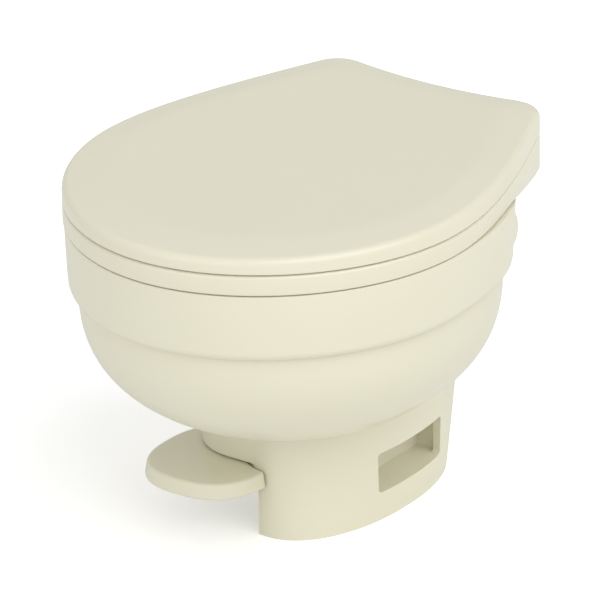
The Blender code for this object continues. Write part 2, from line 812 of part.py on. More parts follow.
def base_cavity():
    """The space inside the base, less the walls of its two pockets and of the toe cut."""
    inner = offset_sections(base_sections(BASE_TOP), BASE_WALL)
    flange = band_radii(RIM_FLANGE_INSET)
    flange_bottom = BASE_TOP - BASE_FLANGE_THICK
    rings = [polar_ring(inner[0][0], [-OVERRUN] * BODY_STEPS)]
    for radii, heights in inner[1:]:
        if max(heights) < flange_bottom - BASE_FLANGE_BLEND:
            rings.append(polar_ring(radii, heights))
    rings.append(polar_ring(flange, [flange_bottom] * BODY_STEPS))
    rings.append(polar_ring(flange, [BASE_TOP + OVERRUN] * BODY_STEPS))
    mesh = bmesh.new()
    add_loft(mesh, rings)
    cavity = helper("base_cavity", mesh)
    combine(cavity, helper("cover_inside", drive_cover(BASE_WALL, COVER_TOP)), "UNION")
    combine(cavity, helper("toe_wall", toe_cut(BASE_WALL)), "DIFFERENCE")
    for side, word in both_sides():
        walls = bmesh.new()
        near, far = span(side, POCKET_INNER_X - POCKET_WALL, HALF_WIDTH)
        low = (near, POCKET_FRONT_Y - POCKET_WALL, POCKET_BOTTOM - POCKET_WALL)
        high = (far, POCKET_REAR_Y + POCKET_WALL, POCKET_TOP + POCKET_WALL)
        add_box(walls, low, high)
        combine(cavity, helper(f"pocket_walls_{word}", walls), "DIFFERENCE")
    return cavity


def cut_pockets(base):
    """Open a window and a deeper pocket in each side of the pedestal, with a bolt slot in its floor."""
    for side, word in both_sides():
        low = (POCKET_FRONT_Y, POCKET_BOTTOM)
        window = rounded_rectangle(low, (POCKET_WINDOW_REAR_Y, POCKET_TOP), POCKET_CORNER)
        hollow = rounded_rectangle(low, (POCKET_REAR_Y, POCKET_TOP), POCKET_CORNER)
        levels = (
            (POCKET_INNER_X, hollow),
            (POCKET_LINTEL_X - POCKET_CORNER, hollow),
            (POCKET_LINTEL_X, window),
            (HALF_WIDTH, window),
        )
        space = bmesh.new()
        add_loft(space, [[oriented("X", u, v, side * x) for u, v in outline] for x, outline in levels])
        combine(base, helper(f"pocket_space_{word}", space), "DIFFERENCE")
        slot = bmesh.new()
        low = (side * SLOT_X - SLOT_HALF_WIDTH, SLOT_Y - SLOT_HALF_LENGTH)
        high = (side * SLOT_X + SLOT_HALF_WIDTH, SLOT_Y + SLOT_HALF_LENGTH)
        outline = rounded_rectangle(low, high, SLOT_HALF_WIDTH - FIT_GAP)
        add_prism(slot, outline, "Z", POCKET_BOTTOM - 2 * POCKET_WALL, POCKET_BOTTOM + POCKET_WALL)
        combine(base, helper(f"bolt_slot_{word}", slot), "DIFFERENCE")


def screw_places():
    """Flat places of the screws that join the rim to the base."""
    table = polar_table(inset_outline(body_outline(), BODY_SCREW_INSET), BODY_CENTRE_Y)
    places = []
    for angle in BODY_SCREW_ANGLES:
        wrapped = math.atan2(math.sin(angle), math.cos(angle))
        radius = radius_at(table, wrapped)
        places.append((radius * math.cos(angle), BODY_CENTRE_Y + radius * math.sin(angle)))
    return places


def build_base(materials, tube_clearance):
    """Base shell: foot, neck and lower bowl in one moulding."""
    mesh = bmesh.new()
    add_loft(mesh, [polar_ring(radii, [height] * BODY_STEPS) for radii, height in base_sections(BASE_TOP)])
    base = solid("base_shell", mesh, materials["bone"])
    boss = bmesh.new()
    add_cylinder(boss, "Y", (0, INLET_Z), INLET_BOSS_RADIUS, INLET_BOSS_FRONT_Y, INLET_BOSS_REAR_Y)
    combine(base, helper("inlet_boss", boss), "UNION")
    combine(base, helper("drive_cover", drive_cover(0, COVER_TOP)), "UNION")
    combine(base, helper("toe_space", toe_cut(0)), "DIFFERENCE")
    cut_pockets(base)
    slot = bmesh.new()
    low = (-NECK_HALF_WIDTH, LEVER_FRONT_Y - LEVER_SLOT_GAP, LEVER_SLOT_BOTTOM)
    high = (LEVER_SLOT_INNER_X, LEVER_REAR_Y + LEVER_SLOT_GAP, LEVER_TOP + LEVER_SLOT_GAP)
    add_box(slot, low, high)
    combine(base, helper("lever_slot", slot), "DIFFERENCE")
    holes = bmesh.new()
    for place in screw_places():
        radius = SCREW_RADIUS + FIT_GAP
        add_cylinder(holes, "Z", place, radius, BASE_TOP - BODY_SCREW_LENGTH, BASE_TOP + OVERRUN, SMALL_STEPS)
    inlet_radius = INLET_RADIUS + FIT_GAP
    add_cylinder(holes, "Y", (0, INLET_Z), inlet_radius, INLET_FRONT_Y, INLET_REAR_Y + OVERRUN)
    combine(base, helper("base_holes", holes), "DIFFERENCE")
    combine(base, tube_clearance, "DIFFERENCE")
    combine(base, base_cavity(), "DIFFERENCE")
    return base


def band_sections(top):
    """Insets and heights of the band's outer sections, from its lower edge to the given height."""
    sections = []
    steps = 4
    for index in range(steps + 1):
        angle = math.pi / 2 * (1 - index / steps)
        inset = BAND_INSET + BAND_TAPER + BAND_ROUND * (1 - math.cos(angle))
        sections.append((inset, STEP_HEIGHT + BAND_ROUND * (1 - math.sin(angle))))
    share = (top - STEP_HEIGHT) / (DECK_HEIGHT - STEP_HEIGHT)
    sections.append((BAND_INSET + BAND_TAPER * (1 - share), top))
    return sections


def limited(ring, rear_y):
    """Ring with no point behind a place."""
    return [Vector((point.x, min(point.y, rear_y), point.z)) for point in ring]


def deck_ring(points, drop):
    """Ring that follows the deck's ramp."""
    return [Vector((point.x, point.y, DECK_HEIGHT - drop - ramp(point.y + DECK_LEAD))) for point in points]


def mouth_points(growth):
    """Points of the bowl's mouth, in the directions of the body's facets."""
    width = MOUTH_HALF_WIDTH + growth
    length = MOUTH_HALF_LENGTH + growth
    return [opening_point(point, width, length) for point in polar_ring(band_radii(0), [0] * BODY_STEPS)]


def rim_rings():
    """Chain of rings round the rim's section: band, deck, lip, underside, inner wall and flange."""
    ledge = SHELF_TOP - LEDGE_DROP
    rings = []
    for inset, height in band_sections(ledge):
        rings.append(polar_ring(band_radii(inset), [height] * BODY_STEPS))
    upper = polar_ring(band_radii(BAND_INSET), [ledge + LEDGE_STEP] * BODY_STEPS)
    rings.append(limited(upper, RIM_REAR_LIMIT_Y))
    edge = [point.xy for point in limited(upper, RIM_REAR_LIMIT_Y)]
    rings.append(deck_ring(edge, RIM_EDGE))
    top = polar_ring(band_radii(BAND_INSET + RIM_EDGE), [0] * BODY_STEPS)
    deck_edge = [point.xy for point in limited(top, RIM_REAR_LIMIT_Y - RIM_EDGE)]
    mouth = mouth_points(MOUTH_ROUND)
    rings.append(deck_ring(deck_edge, 0))
    for share in reversed(DECK_RING_SHARES[:-1]):
        rings.append(deck_ring(between(mouth, deck_edge, share), 0))
    rings.append(deck_ring(mouth, 0))
    lip = mouth_points(0)
    rings.append(deck_ring(lip, MOUTH_ROUND))
    rings.append(raised(lip, lambda y: LIP_BOTTOM))
    lip_back = mouth_points(LIP_WALL)
    rings.append(raised(lip_back, lambda y: LIP_BOTTOM))
    rings.append(deck_ring(lip_back, RIM_WALL + MOUTH_ROUND))
    inner = polar_ring(band_radii(BAND_INSET + RIM_WALL), [0] * BODY_STEPS)
    inner_edge = [point.xy for point in limited(inner, RIM_REAR_LIMIT_Y - RIM_WALL)]
    rings.append(deck_ring(inner_edge, RIM_WALL + RIM_EDGE))
    rings.append(raised(inner_edge, lambda y: ledge - RIM_WALL + LEDGE_STEP))
    wall_inset = BAND_INSET + BAND_TAPER + RIM_WALL
    inner_full = polar_ring(band_radii(wall_inset), [ledge - RIM_WALL] * BODY_STEPS)
    rings.append(inner_full)
    rings.append(polar_ring(band_radii(wall_inset), [STEP_HEIGHT + BAND_ROUND] * BODY_STEPS))
    blend = wall_inset + RIM_WALL
    flange_top = STEP_HEIGHT + RIM_FLANGE_THICK
    rings.append(polar_ring(band_radii(blend), [flange_top] * BODY_STEPS))
    rings.append(polar_ring(band_radii(RIM_FLANGE_INSET), [flange_top] * BODY_STEPS))
    rings.append(polar_ring(band_radii(RIM_FLANGE_INSET), [STEP_HEIGHT] * BODY_STEPS))
    return rings


def build_rim(materials):
    """Rim shell: band, deck, bowl mouth and the shelf that carries the hinge."""
    mesh = bmesh.new()
    add_loft(mesh, rim_rings(), closed_chain=True)
    rim = solid("rim_shell", mesh, materials["bone"])
    shelf = bmesh.new()
    outline = rounded_rectangle(
        (-SHELF_HALF_WIDTH, RIM_REAR_LIMIT_Y - RIM_WALL / 2), (SHELF_HALF_WIDTH, SHELF_REAR_Y), POCKET_CORNER
    )
    add_prism(shelf, outline, "Z", SHELF_TOP - SHELF_THICK, SHELF_TOP)
    combine(rim, helper("hinge_shelf", shelf), "UNION")
    holes = bmesh.new()
    flange_over = STEP_HEIGHT + 2 * RIM_FLANGE_THICK
    for place in screw_places():
        radius = SCREW_RADIUS + FIT_GAP
        add_cylinder(holes, "Z", place, radius, STEP_HEIGHT - RIM_WALL, flange_over, SMALL_STEPS)
    for side, _ in both_sides():
        radius = BOLT_RADIUS + FIT_GAP
        place = (side * HINGE_X, POST_BOLT_Y)
        add_cylinder(holes, "Z", place, radius, SHELF_TOP - 2 * SHELF_THICK, SHELF_TOP + OVERRUN, SMALL_STEPS)
        screw = (side * HOUSING_SCREW_X, HOUSING_SCREW_Z)
        wall_y = RIM_REAR_LIMIT_Y - 2 * RIM_WALL
        add_cylinder(holes, "Y", screw, SCREW_RADIUS + FIT_GAP, wall_y, BAND_REAR_Y + RIM_WALL, SMALL_STEPS)
    rinse = (BREAKER_X, RINSE_Z)
    radius = RINSE_RADIUS + FIT_GAP
    wall_y = RIM_REAR_LIMIT_Y - 2 * RIM_WALL
    add_cylinder(holes, "Y", rinse, radius, wall_y, BAND_REAR_Y + RIM_WALL)
    combine(rim, helper("rim_holes", holes), "DIFFERENCE")
    return rim


def build_body_screws(materials):
    """Four screws that hold the rim's flange on the base's flange."""
    head_seat = STEP_HEIGHT + RIM_FLANGE_THICK + FIT_GAP
    for index, place in enumerate(screw_places()):
        mesh = bmesh.new()
        profile = screw_profile(head_seat - BODY_SCREW_LENGTH, BODY_SCREW_LENGTH, SCREW_HEAD_THICK)
        add_turned(mesh, profile, "Z", place, SMALL_STEPS)
        solid(f"body_screw_{index + 1}", mesh, materials["steel"])


def liner_section(turn, growth, sink):
    """One ring of the basin at a turn from its top (0) to its outlet (a quarter turn)."""
    share = math.cos(turn)
    top_width = MOUTH_HALF_WIDTH + RIM_EDGE / 2
    top_length = MOUTH_HALF_LENGTH + RIM_EDGE / 2
    width = LINER_OUTLET_RADIUS + (top_width - LINER_OUTLET_RADIUS) * share + growth * share
    length = LINER_OUTLET_RADIUS + (top_length - LINER_OUTLET_RADIUS) * share + growth * share
    centre_y = BALL_Y + (OPENING_CENTRE_Y - BALL_Y) * share
    height = LINER_FLOOR + (LINER_TOP - LINER_FLOOR) * (1 - math.sin(turn)) - sink * math.sin(turn)
    points = circle((0, 0), 1, LINER_STEPS)
    return [Vector((width * u, centre_y + length * v, height)) for u, v in points]


def nozzle_wall_y():
    """Where the rinse nozzle passes the basin's rear wall."""
    share = 1 - (RINSE_Z - LINER_FLOOR) / (LINER_TOP - LINER_FLOOR)
    share = math.sqrt(1 - share**2)
    width = LINER_OUTLET_RADIUS + (MOUTH_HALF_WIDTH - LINER_OUTLET_RADIUS) * share
    length = LINER_OUTLET_RADIUS + (MOUTH_HALF_LENGTH - LINER_OUTLET_RADIUS) * share
    centre_y = BALL_Y + (OPENING_CENTRE_Y - BALL_Y) * share
    return centre_y + length * math.sqrt(1 - (BREAKER_X / width) ** 2)


def build_liner(materials):
    """Basin from the rim's mouth to the flush valve."""
    turns = [math.pi / 2 * index / LINER_RINGS for index in range(LINER_RINGS + 1)]
    rings = [liner_section(turn, 0, 0) for turn in turns]
    rings += [liner_section(turn, LINER_WALL, LINER_WALL) for turn in reversed(turns)]
    mesh = bmesh.new()
    add_loft(mesh, rings, closed_chain=True)
    liner = solid("bowl_liner", mesh, materials["bone"])
    hole = bmesh.new()
    wall_y = nozzle_wall_y()
    place = (BREAKER_X, RINSE_Z)
    add_cylinder(hole, "Y", place, NOZZLE_RADIUS + FIT_GAP, wall_y - OVERRUN, wall_y + OVERRUN)
    combine(liner, helper("nozzle_hole", hole), "DIFFERENCE")
    return liner


def housing_plan(inset):
    """Plan of the rear housing: a slightly crowned back with round corners."""
    radius = HOUSING_PLAN_RADIUS - inset
    centre = (HOUSING_HALF_WIDTH - HOUSING_PLAN_RADIUS, HOUSING_CORNER_Y - HOUSING_PLAN_RADIUS)
    lean = 2 * HOUSING_CROWN / centre[0]
    right = [Vector((HOUSING_HALF_WIDTH - inset, HOUSING_FRONT_Y))]
    right += arc(centre, radius, 0, math.pi / 2 - math.atan(lean), 5)
    start_y = right[-1].y
    reach = right[-1].x
    crown_steps = 4
    for index in range(1, crown_steps + 1):
        x = reach * (1 - index / crown_steps)
        right.append(Vector((x, start_y + HOUSING_CROWN * (1 - (x / reach) ** 2))))
    return right + [Vector((-point.x, point.y)) for point in reversed(right[:-1])]


def housing_solid(shrink):
    """Closed lump of the rear housing, shrunk evenly for its inside."""
    middle = (HOUSING_TOP + HOUSING_BOTTOM) / 2
    half = (HOUSING_TOP - HOUSING_BOTTOM) / 2 - shrink
    widest = HOUSING_PLAN_RADIUS - HOUSING_WALL - FIT_GAP
    rings = []
    for index in range(HOUSING_LEVELS + 1):
        angle = -math.pi / 2 + math.pi * index / HOUSING_LEVELS
        inset = shrink + (widest - shrink) * (1 - math.cos(angle))
        height = middle + half * math.sin(angle)
        rings.append([Vector((point.x, point.y, height)) for point in housing_plan(inset)])
    mesh = bmesh.new()
    add_loft(mesh, rings)
    return mesh


def body_envelope():
    """The body's outer form with a small clearance, which the rear housing fits against."""
    clearance = 2 * FIT_GAP
    rings = []
    for radii, height in base_sections(BASE_TOP):
        if height > NECK_HEIGHT:
            grown = [radius + clearance for radius in radii]
            rings.append(polar_ring(grown, [height] * BODY_STEPS))
    for inset, height in band_sections(SHELF_TOP):
        grown = [radius + clearance for radius in band_radii(inset)]
        rings.append(polar_ring(grown, [height] * BODY_STEPS))
    mesh = bmesh.new()
    add_loft(mesh, rings)
    return helper("body_envelope", mesh)


def housing_rear_y(x):
    """Rear face of the housing at a place across it."""
    plan = [point for point in housing_plan(0) if point.y > HOUSING_FRONT_Y]
    for near, far in zip(plan, plan[1:]):
        if far.x <= x <= near.x:
            return near.y + (far.y - near.y) * (near.x - x) / (near.x - far.x)
    return HOUSING_CORNER_Y


def build_housing(materials, envelope, tube_clearance):
    """Rear housing over the vacuum breaker, with its two bosses, holes and screws."""
    housing = solid("rear_housing", housing_solid(0), materials["bone"])
    combine(housing, helper("housing_inside", housing_solid(HOUSING_WALL)), "DIFFERENCE")
    bosses = bmesh.new()
    holes = bmesh.new()
    rear_y = housing_rear_y(HOUSING_SCREW_X)
    for side, word in both_sides():
        place = (side * HOUSING_SCREW_X, HOUSING_SCREW_Z)
        add_cylinder(bosses, "Y", place, HOUSING_BOSS_RADIUS, HOUSING_FRONT_Y, rear_y - HOUSING_WALL)
        sink = rear_y - 2 * SCREW_HEAD_THICK
        shank_hole = SCREW_RADIUS + FIT_GAP
        head_hole = SCREW_HEAD_RADIUS + FIT_GAP
        over = rear_y + OVERRUN
        stepped = [(0, HOUSING_FRONT_Y), (shank_hole, HOUSING_FRONT_Y), (shank_hole, sink)]
        stepped += [(head_hole, sink), (head_hole, over), (0, over)]
        add_turned(holes, stepped, "Y", place, SMALL_STEPS)
        screw = bmesh.new()
        start = BAND_REAR_Y - 2 * RIM_WALL
        profile = screw_profile(start, sink + FIT_GAP - start, SCREW_HEAD_THICK)
        add_turned(screw, profile, "Y", place, SMALL_STEPS)
        solid(f"housing_screw_{word}", screw, materials["steel"])
    combine(housing, helper("housing_bosses", bosses), "UNION")
    combine(housing, envelope, "DIFFERENCE")
    combine(housing, helper("housing_holes", holes), "DIFFERENCE")
    combine(housing, tube_clearance, "DIFFERENCE")
    return housing


def build_posts(materials):
    """Hinge posts on the rim's shelf, each with its bolt."""
    foot_bottom = SHELF_TOP + FIT_GAP
    foot_top = foot_bottom + POST_FOOT_THICK
    for side, word in both_sides():
        near, far = span(side, HINGE_X - POST_HALF_WIDTH, HINGE_X + POST_HALF_WIDTH)
        mesh = bmesh.new()
        stem_front = SEAT_AXIS_Y - POST_STEM_HALF
        add_box(mesh, (near, stem_front, foot_bottom), (far, SEAT_AXIS_Y + POST_STEM_HALF, SEAT_AXIS_Z))
        post = solid(f"hinge_post_{word}", mesh, materials["bone"])
        foot = bmesh.new()
        foot_low = (near, POST_FOOT_FRONT_Y, foot_bottom)
        add_box(foot, foot_low, (far, SHELF_REAR_Y - FIT_GAP, foot_top))
        combine(post, helper(f"post_foot_{word}", foot), "UNION")
        knuckle = bmesh.new()
        add_cylinder(knuckle, "X", (SEAT_AXIS_Y, SEAT_AXIS_Z), POST_KNUCKLE_RADIUS, near, far)
        combine(post, helper(f"post_knuckle_{word}", knuckle), "UNION")
        holes = bmesh.new()
        bore = SEAT_PIN_RADIUS + FIT_GAP
        pin_place = (SEAT_AXIS_Y, SEAT_AXIS_Z)
        add_cylinder(holes, "X", pin_place, bore, near - OVERRUN, far + OVERRUN)
        bolt_place = (side * HINGE_X, POST_BOLT_Y)
        radius = BOLT_RADIUS + FIT_GAP
        low = SHELF_TOP - OVERRUN
        add_cylinder(holes, "Z", bolt_place, radius, low, foot_top + POST_FOOT_THICK, SMALL_STEPS)
        combine(post, helper(f"post_holes_{word}", holes), "DIFFERENCE")
        bolt = bmesh.new()
        head_seat = foot_top + FIT_GAP
        nut_seat = SHELF_TOP - SHELF_THICK - FIT_GAP
        profile = [
            (0, nut_seat - BOLT_HEAD_THICK),
            (BOLT_HEAD_RADIUS, nut_seat - BOLT_HEAD_THICK),
            (BOLT_HEAD_RADIUS, nut_seat),
            (BOLT_RADIUS, nut_seat),
            (BOLT_RADIUS, head_seat),
            (BOLT_HEAD_RADIUS, head_seat),
            (BOLT_HEAD_RADIUS, head_seat + BOLT_HEAD_THICK),
            (0, head_seat + BOLT_HEAD_THICK),
        ]
        add_turned(bolt, profile, "Z", bolt_place, SMALL_STEPS)
        solid(f"hinge_bolt_{word}", bolt, materials["steel"])


def seat_rings():
    """Chain of rings round the seat's section."""
    outline = seat_outline()
    inner = [opening_point(point, SEAT_OPENING_HALF_WIDTH, SEAT_OPENING_HALF_LENGTH) for point in outline]
    widened = [
        opening_point(
            point, SEAT_OPENING_HALF_WIDTH + SEAT_OPENING_ROUND, SEAT_OPENING_HALF_LENGTH + SEAT_OPENING_ROUND
        )
        for point in outline
    ]
    bottom_edge = inset_outline(outline, SEAT_BOTTOM_ROUND)
    top_edge = inset_outline(outline, SEAT_TOP_ROUND)
    softened = inset_outline(outline, SEAT_BOTTOM_ROUND / 4)
    rings = [
        raised(bottom_edge, lambda y: SEAT_BOTTOM - ramp(y)),
        raised(softened, lambda y: SEAT_BOTTOM - ramp(y) + SEAT_BOTTOM_ROUND / 4),
        raised(outline, lambda y: SEAT_BOTTOM - ramp(y) + SEAT_BOTTOM_ROUND),
        raised(outline, lambda y: SEAT_TOP - SEAT_TOP_ROUND),
        raised(top_edge, lambda y: SEAT_TOP),
        raised(widened, lambda y: SEAT_TOP),
        raised(between(inner, widened, 1 / 3), lambda y: SEAT_TOP - SEAT_OPENING_ROUND / 4),
        raised(inner, lambda y: SEAT_TOP - SEAT_OPENING_ROUND),
        raised(inner, lambda y: SEAT_BOTTOM + SEAT_BOTTOM_ROUND),
        raised(between(inner, widened, 1 / 2), lambda y: SEAT_BOTTOM),
    ]
    for share in DECK_RING_SHARES:
        rings.append(raised(between(inner, bottom_edge, share), lambda y: SEAT_BOTTOM - ramp(y)))
    return rings


def build_seat(materials, axis):
    """Seat with its hinge slots, its ears for the lid and recesses for its bumpers."""
    mesh = bmesh.new()
    add_loft(mesh, seat_rings(), closed_chain=True)
    seat = solid("seat", mesh, materials["bone"], axis)
    slots = bmesh.new()
    holes = bmesh.new()
    ears = bmesh.new()
    knuckles = bmesh.new()
    for side, word in both_sides():
        reach = POST_HALF_WIDTH + SLOT_SIDE_GAP
        near, far = span(side, HINGE_X - reach, HINGE_X + reach)
        slot_front = SEAT_AXIS_Y - POST_KNUCKLE_RADIUS - SLOT_FRONT_GAP
        add_box(slots, (near, slot_front, SHELF_TOP), (far, TOTAL_DEPTH, SEAT_AXIS_Z + SLOT_CEILING))
        pin_reach = SEAT_PIN_HALF_LENGTH + FIT_GAP
        low, high = span(side, HINGE_X - pin_reach, HINGE_X + pin_reach)
        bore = SEAT_PIN_RADIUS + FIT_GAP
        add_cylinder(holes, "X", (SEAT_AXIS_Y, SEAT_AXIS_Z), bore, low, high)
        near, far = span(side, HINGE_X - SEAT_EAR_HALF_WIDTH, HINGE_X + SEAT_EAR_HALF_WIDTH)
        ear_low = (near, LID_AXIS_Y - LID_KNUCKLE_RADIUS, SEAT_TOP - EAR_ROOT)
        add_box(ears, ear_low, (far, LID_AXIS_Y + LID_KNUCKLE_RADIUS, LID_AXIS_Z))
        lid_place = (LID_AXIS_Y, LID_AXIS_Z)
        add_cylinder(knuckles, "X", lid_place, LID_KNUCKLE_RADIUS, near, far)
        lid_bore = LID_PIN_RADIUS + FIT_GAP
        add_cylinder(holes, "X", lid_place, lid_bore, near - OVERRUN / 4, far + OVERRUN / 4, SMALL_STEPS)
        for x, y in SEAT_BUMPER_PLACES:
            radius = BUMPER_RADIUS + FIT_GAP
            top = SEAT_BOTTOM + BUMPER_RECESS + FIT_GAP
            add_cylinder(holes, "Z", (side * x, y), radius, SEAT_BOTTOM - BUMPER_RECESS, top)
    combine(seat, helper("seat_ears", ears, axis), "UNION")
    combine(seat, helper("seat_knuckles", knuckles, axis), "UNION")
    combine(seat, helper("hinge_slots", slots, axis), "DIFFERENCE")
    combine(seat, helper("seat_holes", holes, axis), "DIFFERENCE")
    return seat


def build_seat_fittings(materials, axis):
    """The seat's bumpers and hinge pins."""
    for side, word in both_sides():
        low, high = span(side, HINGE_X - SEAT_PIN_HALF_LENGTH, HINGE_X + SEAT_PIN_HALF_LENGTH)
        pin = bmesh.new()
        add_cylinder(pin, "X", (SEAT_AXIS_Y, SEAT_AXIS_Z), SEAT_PIN_RADIUS, low, high)
        solid(f"seat_hinge_pin_{word}", pin, materials["steel"], axis)
        for (x, y), place in zip(SEAT_BUMPER_PLACES, ("front", "side")):
            bumper = bmesh.new()
            bottom = DECK_HEIGHT + FIT_GAP
            centre = (side * x, y)
            add_cylinder(bumper, "Z", centre, BUMPER_RADIUS, bottom, SEAT_BOTTOM + BUMPER_RECESS)
            solid(f"seat_bumper_{place}_{word}", bumper, materials["rubber"], axis)


def scaled_outline(points, share):
    """Outline drawn in towards the plateau's centre."""
    centre = Vector((0, LID_PLATEAU_CENTRE_Y))
    return [centre + (point - centre) * share for point in points]


def lid_rings():
    """Rings of the lid from its plateau over the edge and skirt to its ceiling."""
    outline = seat_outline()
    plateau = scaled_outline(outline, LID_PLATEAU_SHARE)
    rings = [raised(plateau, lambda y: lid_top(y) + LID_CROWN)]
    steps = 3
    for index in range(steps + 1):
        angle = math.pi / 2 * (1 - index / steps)
        drop = LID_EDGE_ROUND * (1 - math.sin(angle))
        ring = inset_outline(outline, LID_EDGE_ROUND * (1 - math.cos(angle)))
        rings.append(raised(ring, lambda y, drop=drop: lid_top(y) - drop))
    rings.append(raised(outline, lid_bottom))
    inner = inset_outline(outline, LID_WALL)
    rings.append(raised(inner, lid_bottom))
    inner_round = LID_EDGE_ROUND - LID_WALL
    rings.append(raised(inner, lambda y: lid_top(y) - LID_EDGE_ROUND))
    rings.append(raised(inset_outline(outline, LID_EDGE_ROUND), lambda y: lid_top(y) - inner_round))
    rings.append(raised(plateau, lambda y: lid_top(y) + LID_CROWN - LID_WALL))
    return rings


def build_lid(materials, axis):
    """Lid with its ears and the notches that let it swing past the seat's ears."""
    mesh = bmesh.new()
    add_loft(mesh, lid_rings())
    lid = solid("lid", mesh, materials["bone"], axis)
    ears = bmesh.new()
    knuckles = bmesh.new()
    notches = bmesh.new()
    holes = bmesh.new()
    place = (LID_AXIS_Y, LID_AXIS_Z)
    start = SEAT_EAR_HALF_WIDTH + EAR_GAP
    for side, word in both_sides():
        for edge in (-1, 1):
            first = HINGE_X + edge * start
            last = HINGE_X + edge * (start + LID_EAR_WIDTH)
            near, far = span(side, first, last)
            low = (near, LID_AXIS_Y - LID_KNUCKLE_RADIUS, LID_AXIS_Z)
            top = lid_top(LID_AXIS_Y) - LID_WALL / 2
            add_box(ears, low, (far, LID_AXIS_Y + LID_EAR_REACH_Y, top))
            add_cylinder(knuckles, "X", place, LID_KNUCKLE_RADIUS, near, far)
        notch = SEAT_EAR_HALF_WIDTH + LID_NOTCH_SIDE_GAP
        near, far = span(side, HINGE_X - notch, HINGE_X + notch)
        notch_front = LID_AXIS_Y - LID_KNUCKLE_RADIUS - LID_NOTCH_SIDE_GAP
        notch_top = LID_AXIS_Z + LID_NOTCH_RISE
        add_box(notches, (near, notch_front, SEAT_TOP), (far, TOTAL_DEPTH, notch_top))
        reach = start + LID_EAR_WIDTH + EAR_GAP
        low, high = span(side, HINGE_X - reach, HINGE_X + reach)
        radius = LID_PIN_RADIUS + FIT_GAP
        add_cylinder(holes, "X", place, radius, low - LID_WALL, high + LID_WALL, SMALL_STEPS)
        pin = bmesh.new()
        add_cylinder(pin, "X", place, LID_PIN_RADIUS, low, high, SMALL_STEPS)
        solid(f"lid_hinge_pin_{word}", pin, materials["steel"], axis)
        bumper = bmesh.new()
        centre = (side * LID_BUMPER_X, LID_BUMPER_Y)
        ceiling = lid_top(LID_BUMPER_Y - BUMPER_RADIUS) - LID_WALL - FIT_GAP
        add_cylinder(bumper, "Z", centre, BUMPER_RADIUS, SEAT_TOP + FIT_GAP, ceiling)
        solid(f"lid_bumper_{word}", bumper, materials["rubber"], axis)
    combine(lid, helper("lid_ears", ears, axis), "UNION")
    combine(lid, helper("lid_knuckles", knuckles, axis), "UNION")
    combine(lid, helper("lid_notches", notches, axis), "DIFFERENCE")
    combine(lid, helper("lid_pin_holes", holes, axis), "DIFFERENCE")
    return lid


def pedal_outline(inset):
    """Half-moon plan of the pedal before the neck is cut out of it."""
    outline = []
    power = 2 / PEDAL_POWER
    for u, v in circle((0, 0), 1, 2 * ROUND_STEPS):
        x = math.copysign(abs(u) ** power, u) * (PEDAL_HALF_WIDTH - inset)
        y = math.copysign(abs(v) ** power, v) * (PEDAL_HALF_LENGTH - inset)
        outline.append(Vector((PEDAL_CENTRE_X + x, PEDAL_CENTRE_Y + y)))
    return outline


def neck_prism(gap, bottom, top):
    """Upright block of the neck's section at the pedal's top, grown by a gap."""
    for radii, height in base_sections(BASE_TOP):
        if height > PEDAL_TOP:
            break
        below, below_height = radii, height
    share = (PEDAL_TOP - below_height) / (height - below_height)
    grown = [low + (high - low) * share + gap for low, high in zip(below, radii)]
    mesh = bmesh.new()
    add_loft(mesh, [polar_ring(grown, [level] * BODY_STEPS) for level in (bottom, top)])
    return mesh


def build_pedal(materials, axis):
    """Foot pedal: a half-moon cap round the left of the neck, with its lever and screws."""
    levels = (
        (PEDAL_SLOPE, PEDAL_BOTTOM),
        (0, PEDAL_BOTTOM + PEDAL_EDGE),
        (PEDAL_SLOPE, PEDAL_TOP - PEDAL_EDGE),
        (PEDAL_SLOPE + PEDAL_EDGE, PEDAL_TOP),
    )
    mesh = bmesh.new()
    add_loft(mesh, [raised(pedal_outline(inset), lambda y, z=height: z) for inset, height in levels])
    pedal = solid("foot_pedal", mesh, materials["bone"], axis)
    bottom = PEDAL_BOTTOM - OVERRUN
    neck = helper("neck_clearance", neck_prism(PEDAL_NECK_GAP, bottom, PEDAL_TOP + OVERRUN), axis)
    combine(pedal, neck, "DIFFERENCE")
    hollow = bmesh.new()
    inset = PEDAL_SLOPE + PEDAL_WALL
    ceiling = PEDAL_TOP - PEDAL_ROOF
    add_loft(hollow, [raised(pedal_outline(inset), lambda y, z=height: z) for height in (bottom, ceiling)])
    inside = helper("pedal_inside", hollow, axis)
    thick_neck = neck_prism(PEDAL_NECK_GAP + PEDAL_WALL, bottom - OVERRUN, PEDAL_TOP + 2 * OVERRUN)
    combine(inside, helper("pedal_inner_wall", thick_neck, axis), "DIFFERENCE")
    combine(pedal, inside, "DIFFERENCE")
    notch = bmesh.new()
    low = (LEVER_SCREW_XS[1], LEVER_FRONT_Y - LEVER_SLOT_GAP, bottom)
    add_box(notch, low, (PEDAL_HALF_WIDTH, LEVER_REAR_Y + LEVER_SLOT_GAP, ceiling))
    combine(pedal, helper("pedal_notch", notch, axis), "DIFFERENCE")
    middle_y = (LEVER_FRONT_Y + LEVER_REAR_Y) / 2
    holes = bmesh.new()
    for x in LEVER_SCREW_XS:
        top = PEDAL_TOP - PEDAL_ROOF / 3 + FIT_GAP
        add_cylinder(holes, "Z", (x, middle_y), SCREW_RADIUS + FIT_GAP, PEDAL_BOTTOM, top, SMALL_STEPS)
    combine(pedal, helper("pedal_screw_holes", holes, axis), "DIFFERENCE")
    build_lever(materials, axis, middle_y)
    return pedal


